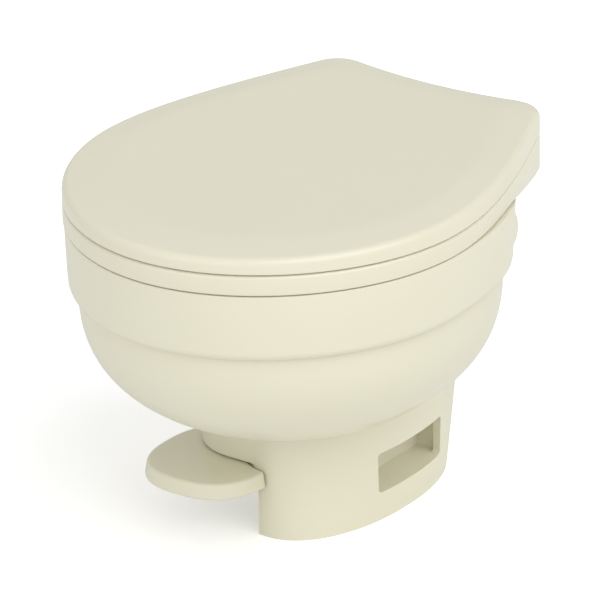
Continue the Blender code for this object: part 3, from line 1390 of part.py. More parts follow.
def build_lever(materials, axis, middle_y):
    """Lever from the pedal's shaft through the neck's wall, with its two screws."""
    mesh = bmesh.new()
    low = (LEVER_END_X, LEVER_FRONT_Y, LEVER_BOTTOM)
    add_box(mesh, low, (0, LEVER_REAR_Y, LEVER_TOP))
    lever = solid("pedal_lever", mesh, materials["grey"], axis)
    hub = bmesh.new()
    place = (0, PEDAL_AXIS_Z)
    add_cylinder(hub, "Y", place, LEVER_HUB_RADIUS, LEVER_FRONT_Y, LEVER_REAR_Y)
    combine(lever, helper("lever_hub", hub, axis), "UNION")
    holes = bmesh.new()
    add_cylinder(holes, "Y", place, SHAFT_RADIUS + FIT_GAP, LEVER_FRONT_Y - OVERRUN, LEVER_REAR_Y + OVERRUN)
    for x in LEVER_SCREW_XS:
        add_cylinder(holes, "Z", (x, middle_y), SCREW_RADIUS + FIT_GAP, PEDAL_BOTTOM, PEDAL_TOP, SMALL_STEPS)
    combine(lever, helper("lever_holes", holes, axis), "DIFFERENCE")
    for index, x in enumerate(LEVER_SCREW_XS):
        screw = bmesh.new()
        seat = LEVER_BOTTOM - FIT_GAP
        tip = PEDAL_TOP - PEDAL_ROOF / 3
        edge = SCREW_HEAD_RADIUS
        base = seat - SCREW_HEAD_THICK
        profile = [(0, base), (edge, base), (edge, seat), (SCREW_RADIUS, seat), (SCREW_RADIUS, tip), (0, tip)]
        add_turned(screw, profile, "Z", (x, middle_y), SMALL_STEPS)
        solid(f"lever_screw_{index + 1}", screw, materials["steel"], axis)


def involute(angle):
    """The involute function of an angle."""
    return math.tan(angle) - angle


def tooth_half_angle(radius, teeth):
    """Half the angle that a tooth fills at a radius."""
    pitch = GEAR_MODULE * teeth / 2
    base = pitch * math.cos(PRESSURE_ANGLE)
    pressure = math.acos(min(base / radius, 1.0))
    half = math.pi / (2 * teeth) - BACKLASH / (2 * pitch)
    return half + involute(PRESSURE_ANGLE) - involute(pressure)


def tooth_profile(teeth, addendum):
    """Angle and radius of the points of one tooth, up one flank and down the other."""
    pitch = GEAR_MODULE * teeth / 2
    base = pitch * math.cos(PRESSURE_ANGLE)
    root = pitch - GEAR_DEDENDUM
    tip = pitch + addendum
    start = max(root, base)
    flank = []
    if root < base:
        flank.append((tooth_half_angle(base, teeth), root))
    for index in range(FLANK_STEPS + 1):
        radius = start + (tip - start) * index / FLANK_STEPS
        flank.append((tooth_half_angle(radius, teeth), radius))
    return [(-angle, radius) for angle, radius in flank] + list(reversed(flank))


def gear_points(teeth, addendum, numbers, centre, first_direction):
    """Outline points of the named teeth. Tooth 0 points in the first direction."""
    points = []
    for number in numbers:
        middle = first_direction - math.tau * number / teeth
        for angle, radius in tooth_profile(teeth, addendum):
            turn = middle - angle
            points.append((centre[0] + radius * math.cos(turn), centre[1] + radius * math.sin(turn)))
    return points


def build_drive(materials, axis):
    """Pedal shaft, its return spring and the toothed sector with the finger for the water valve."""
    place = (0, PEDAL_AXIS_Z)
    shaft = bmesh.new()
    add_cylinder(shaft, "Y", place, SHAFT_RADIUS, SHAFT_FRONT_Y, SHAFT_REAR_Y)
    solid("pedal_shaft", shaft, materials["steel"], axis)
    spring = bmesh.new()
    inner = SHAFT_RADIUS + FIT_GAP
    rear = SPRING_FRONT_Y + SPRING_LENGTH
    outer = inner + SPRING_WALL
    ring = [(inner, SPRING_FRONT_Y), (outer, SPRING_FRONT_Y), (outer, rear), (inner, rear)]
    add_turned(spring, ring, "Y", place)
    solid("return_spring", spring, materials["steel"], axis)
    numbers = range(SECTOR_FIRST_TOOTH, SECTOR_LAST_TOOTH + 1)
    teeth = gear_points(SECTOR_TEETH, SECTOR_ADDENDUM, numbers, place, math.pi / 2)
    blank = bmesh.new()
    add_prism(blank, sector_outline(teeth, place), "Y", GEAR_FRONT_Y, GEAR_REAR_Y)
    sector = solid("drive_sector", blank, materials["grey"], axis)
    hub = bmesh.new()
    add_cylinder(hub, "Y", place, SECTOR_HUB_RADIUS, GEAR_FRONT_Y, GEAR_REAR_Y)
    combine(sector, helper("sector_hub", hub, axis), "UNION")
    finger = bmesh.new()
    low = (0, GEAR_FRONT_Y, PEDAL_AXIS_Z - FINGER_HALF_HEIGHT)
    add_box(finger, low, (FINGER_RADIUS, GEAR_REAR_Y, PEDAL_AXIS_Z + FINGER_HALF_HEIGHT))
    combine(sector, helper("sector_finger", finger, axis), "UNION")
    pad = bmesh.new()
    pad_place = (FINGER_RADIUS, PEDAL_AXIS_Z)
    add_cylinder(pad, "Y", pad_place, FINGER_PAD_RADIUS, GEAR_FRONT_Y, GEAR_REAR_Y)
    combine(sector, helper("finger_pad", pad, axis), "UNION")
    bore = bmesh.new()
    add_cylinder(bore, "Y", place, SHAFT_RADIUS + FIT_GAP, GEAR_FRONT_Y - OVERRUN, GEAR_REAR_Y + OVERRUN)
    combine(sector, helper("sector_bore", bore, axis), "DIFFERENCE")


def sector_outline(teeth, place):
    """Outline of the toothed blank: its teeth and two edges that run in to the hub."""
    half_tooth = math.pi / SECTOR_TEETH
    root = SECTOR_PITCH_RADIUS - GEAR_DEDENDUM
    first = math.pi / 2 - math.tau * SECTOR_FIRST_TOOTH / SECTOR_TEETH + half_tooth
    last = math.pi / 2 - math.tau * SECTOR_LAST_TOOTH / SECTOR_TEETH - half_tooth
    core = SHAFT_RADIUS + SPRING_WALL
    ends = []
    for radius, angle in ((root, last), (core, last), (core, first), (root, first)):
        ends.append((place[0] + radius * math.cos(angle), place[1] + radius * math.sin(angle)))
    return teeth + ends


def build_frame(materials):
    """Gear frame: two bearing plates on a bottom bar, fixed to the valve's front block."""
    rear_end = CHAMBER_BLOCK_FRONT_Y - FIT_GAP
    rear_start = rear_end - FRAME_PLATE_THICK
    bar_top = FRAME_BOTTOM + FRAME_BAR_THICK
    mesh = bmesh.new()
    add_box(mesh, (-FRAME_HALF_WIDTH, FRAME_FRONT_Y, FRAME_BOTTOM), (FRAME_HALF_WIDTH, rear_end, bar_top))
    frame = solid("gear_frame", mesh, materials["dark"])
    plates = bmesh.new()
    front_top = PEDAL_AXIS_Z + FRAME_FRONT_RISE
    front_end = FRAME_FRONT_Y + FRAME_PLATE_THICK
    low = (-FRAME_HALF_WIDTH, FRAME_FRONT_Y, FRAME_BOTTOM)
    add_box(plates, low, (FRAME_HALF_WIDTH, front_end, front_top))
    low = (-FRAME_HALF_WIDTH, rear_start, FRAME_BOTTOM)
    rear_top = BALL_Z + FRAME_HALF_WIDTH
    add_box(plates, low, (FRAME_HALF_WIDTH, rear_end, rear_top))
    arm_reach = VALVE_X - VALVE_HALF_WIDTH - FIT_GAP
    low = (0, rear_start, VALVE_BOTTOM + FRAME_PLATE_THICK)
    arm = bmesh.new()
    add_box(arm, low, (arm_reach, rear_end, VALVE_TOP - FRAME_PLATE_THICK))
    combine(frame, helper("frame_plates", plates), "UNION")
    combine(frame, helper("frame_arm", arm), "UNION")
    holes = bmesh.new()
    place = (0, PEDAL_AXIS_Z)
    add_cylinder(holes, "Y", place, SHAFT_RADIUS + FIT_GAP, FRAME_FRONT_Y - OVERRUN, rear_end + OVERRUN)
    place = (0, BALL_Z)
    add_cylinder(holes, "Y", place, BALL_SHAFT_RADIUS + FIT_GAP, rear_start - OVERRUN / 4, rear_end + OVERRUN)
    combine(frame, helper("frame_holes", holes), "DIFFERENCE")
    return frame


def build_ball(materials, axis):
    """Half ball with its two arms, its shaft, its rear pin and the pinion."""
    outer = []
    inner = []
    for index in range(BALL_RINGS + 1):
        angle = math.pi * index / BALL_RINGS
        outer.append((BALL_RADIUS * math.sin(angle), BALL_Z + BALL_RADIUS * math.cos(angle)))
        hollow = BALL_RADIUS - BALL_WALL
        inner.append((hollow * math.sin(angle), BALL_Z + hollow * math.cos(angle)))
    centre = (0, BALL_Y)
    mesh = bmesh.new()
    add_turned(mesh, pole_to_pole(outer), "Z", centre)
    ball = solid("valve_ball", mesh, materials["white"], axis)
    inside = bmesh.new()
    add_turned(inside, pole_to_pole(inner), "Z", centre)
    combine(ball, helper("ball_inside", inside, axis), "DIFFERENCE")
    trims = bmesh.new()
    reach = BALL_RADIUS + OVERRUN
    cap_bottom = BALL_Z + BALL_RADIUS * math.cos(BALL_CAP_ANGLE)
    arm_bottom = BALL_Z - BALL_ARM_HALF
    add_box(trims, (-reach, BALL_Y - reach, BALL_Z - reach), (reach, BALL_Y + reach, arm_bottom))
    combine(ball, helper("ball_trim_below", trims, axis), "DIFFERENCE")
    for side, word in both_sides():
        trim = bmesh.new()
        near, far = span(side, BALL_ARM_HALF, reach)
        add_box(trim, (near, BALL_Y - reach, BALL_Z - reach), (far, BALL_Y + reach, cap_bottom))
        combine(ball, helper(f"ball_trim_{word}", trim, axis), "DIFFERENCE")
    inner_face = BALL_RADIUS - BALL_WALL - BALL_BOSS_DEPTH
    outer_face = BALL_RADIUS - BALL_WALL / 2
    bosses = bmesh.new()
    place = (0, BALL_Z)
    for edge in (-1, 1):
        ends = sorted((BALL_Y + edge * inner_face, BALL_Y + edge * outer_face))
        add_cylinder(bosses, "Y", place, BALL_BOSS_RADIUS, *ends)
    combine(ball, helper("ball_bosses", bosses, axis), "UNION")
    holes = bmesh.new()
    add_cylinder(holes, "Y", place, BALL_SHAFT_RADIUS + FIT_GAP, BALL_Y - reach, BALL_Y + reach)
    combine(ball, helper("ball_bore", holes, axis), "DIFFERENCE")
    shaft = bmesh.new()
    add_cylinder(shaft, "Y", place, BALL_SHAFT_RADIUS, BALL_SHAFT_FRONT_Y, BALL_Y - inner_face)
    solid("ball_shaft", shaft, materials["steel"], axis)
    pin = bmesh.new()
    pin_end = BALL_Y + CHAMBER_RADIUS + CHAMBER_WALL + CHAMBER_BOSS_LENGTH
    add_cylinder(pin, "Y", place, BALL_SHAFT_RADIUS, BALL_Y + inner_face, pin_end)
    solid("ball_rear_pin", pin, materials["steel"], axis)
    gear = bmesh.new()
    first_direction = -math.pi / 2 + math.pi / PINION_TEETH
    numbers = range(PINION_TEETH)
    outline = gear_points(PINION_TEETH, PINION_ADDENDUM, numbers, place, first_direction)
    add_prism(gear, outline, "Y", GEAR_FRONT_Y, GEAR_REAR_Y)
    pinion = solid("pinion", gear, materials["grey"], axis)
    bore = bmesh.new()
    radius = BALL_SHAFT_RADIUS + FIT_GAP
    over = OVERRUN / 4
    add_cylinder(bore, "Y", place, radius, GEAR_FRONT_Y - over, GEAR_REAR_Y + over)
    combine(pinion, helper("pinion_bore", bore, axis), "DIFFERENCE")
    return ball


def pole_to_pole(profile):
    """Profile with its two ends exactly on the turning axis."""
    return [(0, profile[0][1])] + profile[1:-1] + [(0, profile[-1][1])]


def sphere_profile(radius, top_radius, tube_radius, top, bottom):
    """Profile of a ball space with a collar above and a tube below, closed on the axis."""
    profile = [(0, top), (top_radius, top)]
    first = math.asin(top_radius / radius)
    last = math.pi - math.asin(tube_radius / radius)
    for index in range(BALL_RINGS + 1):
        angle = first + (last - first) * index / BALL_RINGS
        profile.append((radius * math.sin(angle), BALL_Z + radius * math.cos(angle)))
    return profile + [(tube_radius, bottom), (0, bottom)]


def build_chamber(materials):
    """Valve housing: ball chamber, collar for the seal, drain tube, front block and rear boss."""
    centre = (0, BALL_Y)
    place = (0, BALL_Z)
    outer_radius = CHAMBER_RADIUS + CHAMBER_WALL
    collar_inner = SEAL_OUTER_RADIUS + FIT_GAP
    mesh = bmesh.new()
    outer_collar = collar_inner + COLLAR_WALL
    outer_tube = DRAIN_RADIUS + DRAIN_WALL
    outer = sphere_profile(outer_radius, outer_collar, outer_tube, COLLAR_TOP, DRAIN_BOTTOM)
    add_turned(mesh, outer, "Z", centre)
    chamber = solid("valve_housing", mesh, materials["dark"])
    block = bmesh.new()
    half = CHAMBER_BLOCK_HALF_WIDTH
    low = (-half, CHAMBER_BLOCK_FRONT_Y, BALL_Z - half)
    add_box(block, low, (half, BALL_Y - BALL_RADIUS / 2, BALL_Z + half))
    combine(chamber, helper("chamber_block", block), "UNION")
    boss = bmesh.new()
    rear_end = BALL_Y + outer_radius + CHAMBER_BOSS_LENGTH
    add_cylinder(boss, "Y", place, CHAMBER_BOSS_RADIUS, BALL_Y + BALL_RADIUS / 2, rear_end)
    combine(chamber, helper("chamber_boss", boss), "UNION")
    inside = bmesh.new()
    top = COLLAR_TOP + OVERRUN
    bottom = DRAIN_BOTTOM - OVERRUN
    inner = sphere_profile(CHAMBER_RADIUS, collar_inner, DRAIN_RADIUS, top, bottom)
    add_turned(inside, inner, "Z", centre)
    room = helper("chamber_inside", inside)
    bores = bmesh.new()
    radius = BALL_SHAFT_RADIUS + FIT_GAP
    add_cylinder(bores, "Y", place, radius, CHAMBER_BLOCK_FRONT_Y - OVERRUN, rear_end + OVERRUN)
    combine(room, helper("chamber_bore", bores), "UNION")
    bush_bore = bmesh.new()
    start = CHAMBER_BLOCK_FRONT_Y
    bore_end = start + BUSH_LENGTH + FIT_GAP
    add_cylinder(bush_bore, "Y", place, BUSH_RADIUS + FIT_GAP, start - OVERRUN, bore_end)
    combine(room, helper("bush_bore", bush_bore), "UNION")
    combine(chamber, room, "DIFFERENCE")
    bush = bmesh.new()
    end = start + BUSH_LENGTH
    add_turned(bush, [(radius, start), (BUSH_RADIUS, start), (BUSH_RADIUS, end), (radius, end)], "Y", place)
    solid("shaft_bush", bush, materials["rubber"])
    return chamber


def build_seals(materials):
    """Ring that seals the ball and the ring that seals the drain at the floor."""
    centre = (0, BALL_Y)
    mesh = bmesh.new()
    reach = BALL_RADIUS + 4 * FIT_GAP
    profile = [(SEAL_OUTER_RADIUS, COLLAR_TOP), (SEAL_INNER_RADIUS, COLLAR_TOP)]
    for share in (0, 0.5, 1):
        radius = SEAL_INNER_RADIUS + SEAL_WIDTH * share
        profile.append((radius, BALL_Z + math.sqrt(reach**2 - radius**2)))
    add_turned(mesh, profile, "Z", centre)
    solid("ball_seal", mesh, materials["rubber"])
    inner = DRAIN_RADIUS + DRAIN_WALL + FIT_GAP
    seal = bmesh.new()
    ring = [
        (inner, CLOSET_SEAL_LIFT),
        (CLOSET_SEAL_RADIUS, CLOSET_SEAL_LIFT),
        (CLOSET_SEAL_RADIUS, CLOSET_SEAL_TOP),
        (inner, CLOSET_SEAL_TOP),
    ]
    add_turned(seal, ring, "Z", centre)
    solid("closet_seal", seal, materials["rubber"])


def smooth_route(points, steps):
    """Points of an even curve through the route's own points, with its two end stretches straight."""
    places = [Vector(point) for point in points]
    route = [places[0]]
    for before, start, end, after in zip(places, places[1:], places[2:], places[3:]):
        for index in range(steps):
            t = index / steps
            cubic_part = (3 * start - before - 3 * end + after) * t**3
            square_part = (2 * before - 5 * start + 4 * end - after) * t**2
            route.append((2 * start + (end - before) * t + square_part + cubic_part) / 2)
    return route + places[-2:]


def add_tube(mesh, route, radius):
    """Round bar along a route, with its rings kept square to the way."""
    side = Vector((0, 0, 1)).cross(route[1] - route[0]).normalized()
    rings = []
    for index, place in enumerate(route):
        ahead = route[min(index + 1, len(route) - 1)] - route[max(index - 1, 0)]
        ahead.normalize()
        side = (side - ahead * side.dot(ahead)).normalized()
        up = ahead.cross(side)
        ring = []
        for u, v in circle((0, 0), radius, TUBE_STEPS):
            ring.append(place + side * u + up * v)
        rings.append(ring)
    add_loft(mesh, rings)


def supply_route():
    """Way of the supply tube from the inlet round the ball chamber to the water valve."""
    start = Vector((0, INLET_FRONT_Y - FIT_GAP, INLET_Z))
    port_y = VALVE_Y + VALVE_HALF_LENGTH + PORT_LENGTH + FIT_GAP
    end = Vector((VALVE_X + VALVE_HALF_WIDTH - PORT_RADIUS, port_y, PORT_Z))
    wide = CHAMBER_RADIUS + CHAMBER_WALL + 2 * TUBE_RADIUS
    points = [
        start,
        start - Vector((0, 2 * TUBE_RADIUS, 0)),
        Vector((wide / 2, BALL_Y + wide, (INLET_Z + PORT_Z) / 2)),
        Vector((wide, BALL_Y, PORT_Z)),
        Vector((wide, BALL_Y - wide / 2, PORT_Z)),
        end + Vector((TUBE_RADIUS / 2, 3 * TUBE_RADIUS, 0)),
        end + Vector((0, TUBE_RADIUS, 0)),
        end,
    ]
    return smooth_route(points, ROUTE_STEPS)


def breaker_route():
    """Way of the tube from the water valve up between basin and bowl to the vacuum breaker."""
    start = Vector((VALVE_X, VALVE_Y - VALVE_HALF_LENGTH - PORT_LENGTH - FIT_GAP, PORT_Z))
    end = Vector((BREAKER_X, BREAKER_Y, BREAKER_BOTTOM - FIT_GAP))
    rise = end.z - start.z
    side_x = HALF_WIDTH - 2 * BREAKER_Y / 5
    points = [
        start,
        start - Vector((0, 2 * TUBE_RADIUS, 0)),
        start + Vector((TUBE_RADIUS, -2 * TUBE_RADIUS, rise / 4)),
        Vector((side_x, VALVE_Y, start.z + rise / 2)),
        Vector((side_x, BALL_Y + 4 * TUBE_RADIUS, start.z + 4 * rise / 5)),
        Vector((end.x + (side_x - end.x) / 2, BALL_Y + 16 * TUBE_RADIUS, start.z + 9 * rise / 10)),
        end - Vector((0, 4 * TUBE_RADIUS, 2 * TUBE_RADIUS + BREAKER_TUBE_DIP)),
        end - Vector((0, TUBE_RADIUS, 2 * TUBE_RADIUS)),
        end - Vector((0, 0, TUBE_RADIUS)),
        end,
    ]
    return smooth_route(points, ROUTE_STEPS)


def build_tubes(materials):
    """Supply and breaker tubes. Returns the room that the breaker tube needs in the walls."""
    mesh = bmesh.new()
    add_tube(mesh, supply_route(), TUBE_RADIUS)
    solid("supply_tube", mesh, materials["white"])
    route = breaker_route()
    mesh = bmesh.new()
    add_tube(mesh, route, TUBE_RADIUS)
    solid("breaker_tube", mesh, materials["white"])
    room = bmesh.new()
    add_tube(room, route, TUBE_RADIUS + TUBE_BORE_GAP)
    return helper("tube_room", room)


def build_water_valve(materials, axis):
    """Water valve body with its two ports, and the plunger that the pedal's finger lifts."""
    mesh = bmesh.new()
    low = (VALVE_X - VALVE_HALF_WIDTH, VALVE_Y - VALVE_HALF_LENGTH, VALVE_BOTTOM)
    high = (VALVE_X + VALVE_HALF_WIDTH, VALVE_Y + VALVE_HALF_LENGTH, VALVE_TOP)
    add_box(mesh, low, high)
    body = solid("water_valve_body", mesh, materials["dark"])
    ports = bmesh.new()
    supply = (VALVE_X + VALVE_HALF_WIDTH - PORT_RADIUS, PORT_Z)
    add_cylinder(ports, "Y", supply, PORT_RADIUS, VALVE_Y, VALVE_Y + VALVE_HALF_LENGTH + PORT_LENGTH)
    combine(body, helper("supply_port", ports), "UNION")
    outlet = bmesh.new()
    outlet_start = VALVE_Y - VALVE_HALF_LENGTH - PORT_LENGTH
    add_cylinder(outlet, "Y", (VALVE_X, PORT_Z), PORT_RADIUS, outlet_start, VALVE_Y)
    combine(body, helper("outlet_port", outlet), "UNION")
    bore = bmesh.new()
    plunger_top = PLUNGER_BOTTOM + PLUNGER_LENGTH
    bore_top = plunger_top + PLUNGER_TRAVEL + FIT_GAP
    place = (VALVE_X, VALVE_Y)
    add_cylinder(bore, "Z", place, PLUNGER_RADIUS + FIT_GAP, VALVE_BOTTOM - OVERRUN, bore_top)
    combine(body, helper("plunger_bore", bore), "DIFFERENCE")
    plunger = bmesh.new()
    add_cylinder(plunger, "Z", place, PLUNGER_RADIUS, PLUNGER_BOTTOM, plunger_top)
    solid("valve_plunger", plunger, materials["grey"], axis)
    return body


def build_inlet(materials):
    """Inlet fitting through the rear of the neck, with its nut."""
    place = (0, INLET_Z)
    mesh = bmesh.new()
    add_cylinder(mesh, "Y", place, INLET_RADIUS, INLET_FRONT_Y, INLET_REAR_Y)
    solid("inlet_fitting", mesh, materials["brass"])
    nut = bmesh.new()
    inner = INLET_RADIUS + FIT_GAP
    start = INLET_BOSS_REAR_Y + FIT_GAP
    end = start + INLET_NUT_THICK
    outer = INLET_NUT_RADIUS
    add_turned(nut, [(inner, start), (outer, start), (outer, end), (inner, end)], "Y", place, NUT_STEPS)
    solid("inlet_nut", nut, materials["white"])


def build_breaker(materials):
    """Vacuum breaker with the rinse tube's socket in its front, and its cap."""
    centre = (BREAKER_X, BREAKER_Y)
    top = BREAKER_BOTTOM + BREAKER_HEIGHT
    mesh = bmesh.new()
    add_cylinder(mesh, "Z", centre, BREAKER_RADIUS, BREAKER_BOTTOM, top)
    body = solid("vacuum_breaker_body", mesh, materials["dark"])
    socket = bmesh.new()
    front = BREAKER_Y - BREAKER_RADIUS
    place = (BREAKER_X, RINSE_Z)
    radius = RINSE_RADIUS + FIT_GAP
    add_cylinder(socket, "Y", place, radius, front - OVERRUN, front + RINSE_SOCKET_DEPTH)
    combine(body, helper("rinse_socket", socket), "DIFFERENCE")
    cap = bmesh.new()
    cap_bottom = top + FIT_GAP
    cap_edge = BREAKER_CAP_RADIUS
    cap_top = cap_bottom + BREAKER_CAP_THICK
    soft = cap_edge - BREAKER_CAP_THICK / 2
    ring = [(0, cap_bottom), (cap_edge, cap_bottom), (cap_edge, cap_top - BREAKER_CAP_THICK / 2)]
    add_turned(cap, ring + [(soft, cap_top), (0, cap_top)], "Z", centre)
    solid("vacuum_breaker_cap", cap, materials["white"])
    return body


def build_rinse(materials):
    """Rinse tube through the rim's rear, and the nozzle that it feeds at the basin's wall."""
    place = (BREAKER_X, RINSE_Z)
    socket_radius = RINSE_RADIUS + FIT_GAP
    wall_y = nozzle_wall_y()
    tip = wall_y - NOZZLE_REACH
    collar = wall_y + LINER_WALL + NOZZLE_COLLAR_SETBACK
    back = collar + NOZZLE_COLLAR_LENGTH
    outer = [(NOZZLE_BORE_RADIUS, tip), (NOZZLE_RADIUS, tip), (NOZZLE_RADIUS, collar)]
    outer += [(NOZZLE_COLLAR_RADIUS, collar), (NOZZLE_COLLAR_RADIUS, back)]
    inner = [(socket_radius, back), (socket_radius, collar), (NOZZLE_BORE_RADIUS, collar)]
    nozzle = bmesh.new()
    add_turned(nozzle, outer + inner, "Y", place)
    solid("rinse_nozzle", nozzle, materials["white"])
    tube = bmesh.new()
    end = BREAKER_Y - BREAKER_RADIUS + RINSE_SOCKET_DEPTH - FIT_GAP
    add_cylinder(tube, "Y", place, RINSE_RADIUS, collar + FIT_GAP, end)
    solid("rinse_tube", tube, materials["white"])


def main():
    """Build the whole toilet."""
    clear_scene()
    materials = make_materials()
    seat_axis = joint_empty("seat_axis", (0, SEAT_AXIS_Y, SEAT_AXIS_Z))
    lid_axis = joint_empty("lid_axis", (0, LID_AXIS_Y, LID_AXIS_Z), seat_axis)
    pedal_axis = joint_empty("pedal_axis", (0, 0, PEDAL_AXIS_Z))
    ball_axis = joint_empty("ball_axis", (0, BALL_Y, BALL_Z))
    plunger_axis = joint_empty("plunger_axis", (VALVE_X, VALVE_Y, PLUNGER_BOTTOM))
    tube_room = build_tubes(materials)
    build_base(materials, tube_room)
    build_rim(materials)
    build_body_screws(materials)
    build_liner(materials)
    build_housing(materials, body_envelope(), tube_room)
    build_posts(materials)
    build_seat(materials, seat_axis)
    build_seat_fittings(materials, seat_axis)
    build_lid(materials, lid_axis)
    build_pedal(materials, pedal_axis)
    build_drive(materials, pedal_axis)
    build_frame(materials)
    build_ball(materials, ball_axis)
    build_chamber(materials)
    build_seals(materials)
    build_water_valve(materials, plunger_axis)
    build_inlet(materials)
    build_breaker(materials)
    build_rinse(materials)


if __name__ == "__main__":
    main()
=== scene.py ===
"""Looks of a low gravity-flush toilet with a hinged seat and lid and a foot pedal, round its frame."""
import bisect
import functools
import json
import logging
import math
from collections.abc import Callable, Iterable
from dataclasses import dataclass, field
from enum import Enum

import bmesh
import bpy
from mathutils import Matrix, Vector


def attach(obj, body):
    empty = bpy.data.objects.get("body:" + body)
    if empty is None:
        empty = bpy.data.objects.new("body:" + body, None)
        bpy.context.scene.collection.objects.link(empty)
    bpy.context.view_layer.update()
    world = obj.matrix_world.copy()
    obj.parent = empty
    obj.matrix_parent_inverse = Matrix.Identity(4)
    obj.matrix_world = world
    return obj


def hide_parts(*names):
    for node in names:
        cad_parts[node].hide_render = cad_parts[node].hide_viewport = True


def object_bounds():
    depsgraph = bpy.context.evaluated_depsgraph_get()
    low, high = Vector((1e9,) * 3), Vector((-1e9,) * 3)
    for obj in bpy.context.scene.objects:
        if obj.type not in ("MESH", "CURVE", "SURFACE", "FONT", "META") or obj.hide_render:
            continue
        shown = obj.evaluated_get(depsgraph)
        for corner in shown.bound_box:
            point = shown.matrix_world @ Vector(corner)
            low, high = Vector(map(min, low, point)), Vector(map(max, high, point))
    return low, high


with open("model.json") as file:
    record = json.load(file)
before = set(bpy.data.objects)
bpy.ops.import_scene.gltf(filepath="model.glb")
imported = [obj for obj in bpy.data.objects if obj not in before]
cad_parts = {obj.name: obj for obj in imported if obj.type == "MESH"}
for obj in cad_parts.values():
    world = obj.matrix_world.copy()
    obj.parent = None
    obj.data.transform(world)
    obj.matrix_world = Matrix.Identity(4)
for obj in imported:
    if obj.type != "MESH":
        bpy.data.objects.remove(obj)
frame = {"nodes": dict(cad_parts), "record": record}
CAD_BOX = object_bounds()
LOG = logging.getLogger("toilet")

Ring = list[Vector]
Height = Callable[[float], float]
Piece = bpy.types.Object
Node = bpy.types.Node
Socket = str | int
Triple = tuple[float, float, float]
Colour = tuple[float, float, float, float]

# Lengths in metres, and angles, shared by several pieces
FIT = 0.0003
OVERRUN = 0.02
WELD_GAP = 0.000001
MERGE_GAP = 0.000002
SMOOTH_ANGLE = math.radians(32)
EDGE_ANGLE = math.radians(40)
HINGE_X = 0.075
SEAT_AXIS = (0.215, 0.329)
LID_AXIS = (0.226, 0.3583)
SIDES = {1: "right", -1: "left"}
CORNER_STEPS = 6
BARREL_SIDES = 40

# Sockets of a colour mix, and the part of a noise that carries its pattern
MIX_INPUTS = (6, 7)
MIX_OUTPUT = 2
NOISE_ENDS = (0.3, 0.7)
WHITE = (1.0, 1.0, 1.0, 1.0)


class Slot(Enum):
    """Material slots of the record."""

    BONE = "bone_plastic"
    VALVE = "valve_plastic"
    GEAR = "gear_plastic"
    TUBE = "tube_plastic"
    RUBBER = "seal_rubber"
    STEEL = "pin_steel"
    BRASS = "inlet_brass"


class Body(Enum):
    """Bodies of the frame that pieces ride on."""

    TOILET = "toilet_body"
    SEAT = "seat_ring"
    LID = "lid_cover"
    PEDAL = "pedal"


class Cut(Enum):
    """Ways in which one solid changes another."""

    AWAY = "DIFFERENCE"
    ONTO = "UNION"


class NodeSheet:
    """A material's node tree, written one node at a time."""

    def __init__(self, name: str) -> None:
        """Starts an empty material with its output and its Principled shader.

        Args:
            name: the material's name.
        """
        self.material = bpy.data.materials.new(name)
        self.material.use_nodes = True
        self.tree = self.material.node_tree
        self.tree.nodes.clear()
        self.shader = self.add("ShaderNodeBsdfPrincipled")
        output = self.add("ShaderNodeOutputMaterial")
        self.link(self.shader, "BSDF", output, "Surface")
        self.place = self.add("ShaderNodeTexCoord")

    def add(self, kind: str, **inputs: object) -> Node:
        """Adds a node and sets its inputs.

        Args:
            kind: Blender's name of the node type.
            inputs: values by socket name, with _ in place of a space.

        Returns:
            The new node.
        """
        node = self.tree.nodes.new(kind)
        for name, value in inputs.items():
            node.inputs[name.replace("_", " ")].default_value = value
        return node

    def link(self, start: Node, output: Socket, end: Node, socket: Socket) -> None:
        """Joins one node's output to another's input."""
        self.tree.links.new(start.outputs[output], end.inputs[socket])

    def noise(self, scale: float, detail: float, stretch: Triple) -> Node:
        """Adds noise on Object coordinates.

        Args:
            scale: size of the noise, in repeats per metre.
            detail: octaves of detail.
            stretch: scale along each axis.

        Returns:
            The noise node.
        """
        mapping = self.add("ShaderNodeMapping", Scale=stretch)
        self.link(self.place, "Object", mapping, "Vector")
        node = self.add("ShaderNodeTexNoise", Scale=scale, Detail=detail)
        self.link(mapping, "Vector", node, "Vector")
        return node

    def range_of(self, source: Node, low: float, high: float) -> Node:
        """Maps the middle of a noise to a range.

        Args:
            source: noise node that is mapped.
            low: value at the noise's dark end.
            high: value at its bright end.

        Returns:
            The mapping node.
        """
        node = self.add("ShaderNodeMapRange")
        for index, value in enumerate((*NOISE_ENDS, low, high)):
            node.inputs[index + 1].default_value = value
        self.link(source, 0, node, "Value")
        return node

    def mix(self, factor: Node, output: Socket, first: Colour, second: Colour) -> Node:
        """Adds a mix of two colours.

        Args:
            factor: node that gives the share of the second colour.
            output: which of its outputs does.
            first: colour at a share of nought.
            second: colour at a share of one.

        Returns:
            The mixing node.
        """
        node = self.add("ShaderNodeMix")
        node.data_type = "RGBA"
        for socket, colour in zip(MIX_INPUTS, (first, second)):
            node.inputs[socket].default_value = colour
        self.link(factor, output, node, 0)
        return node


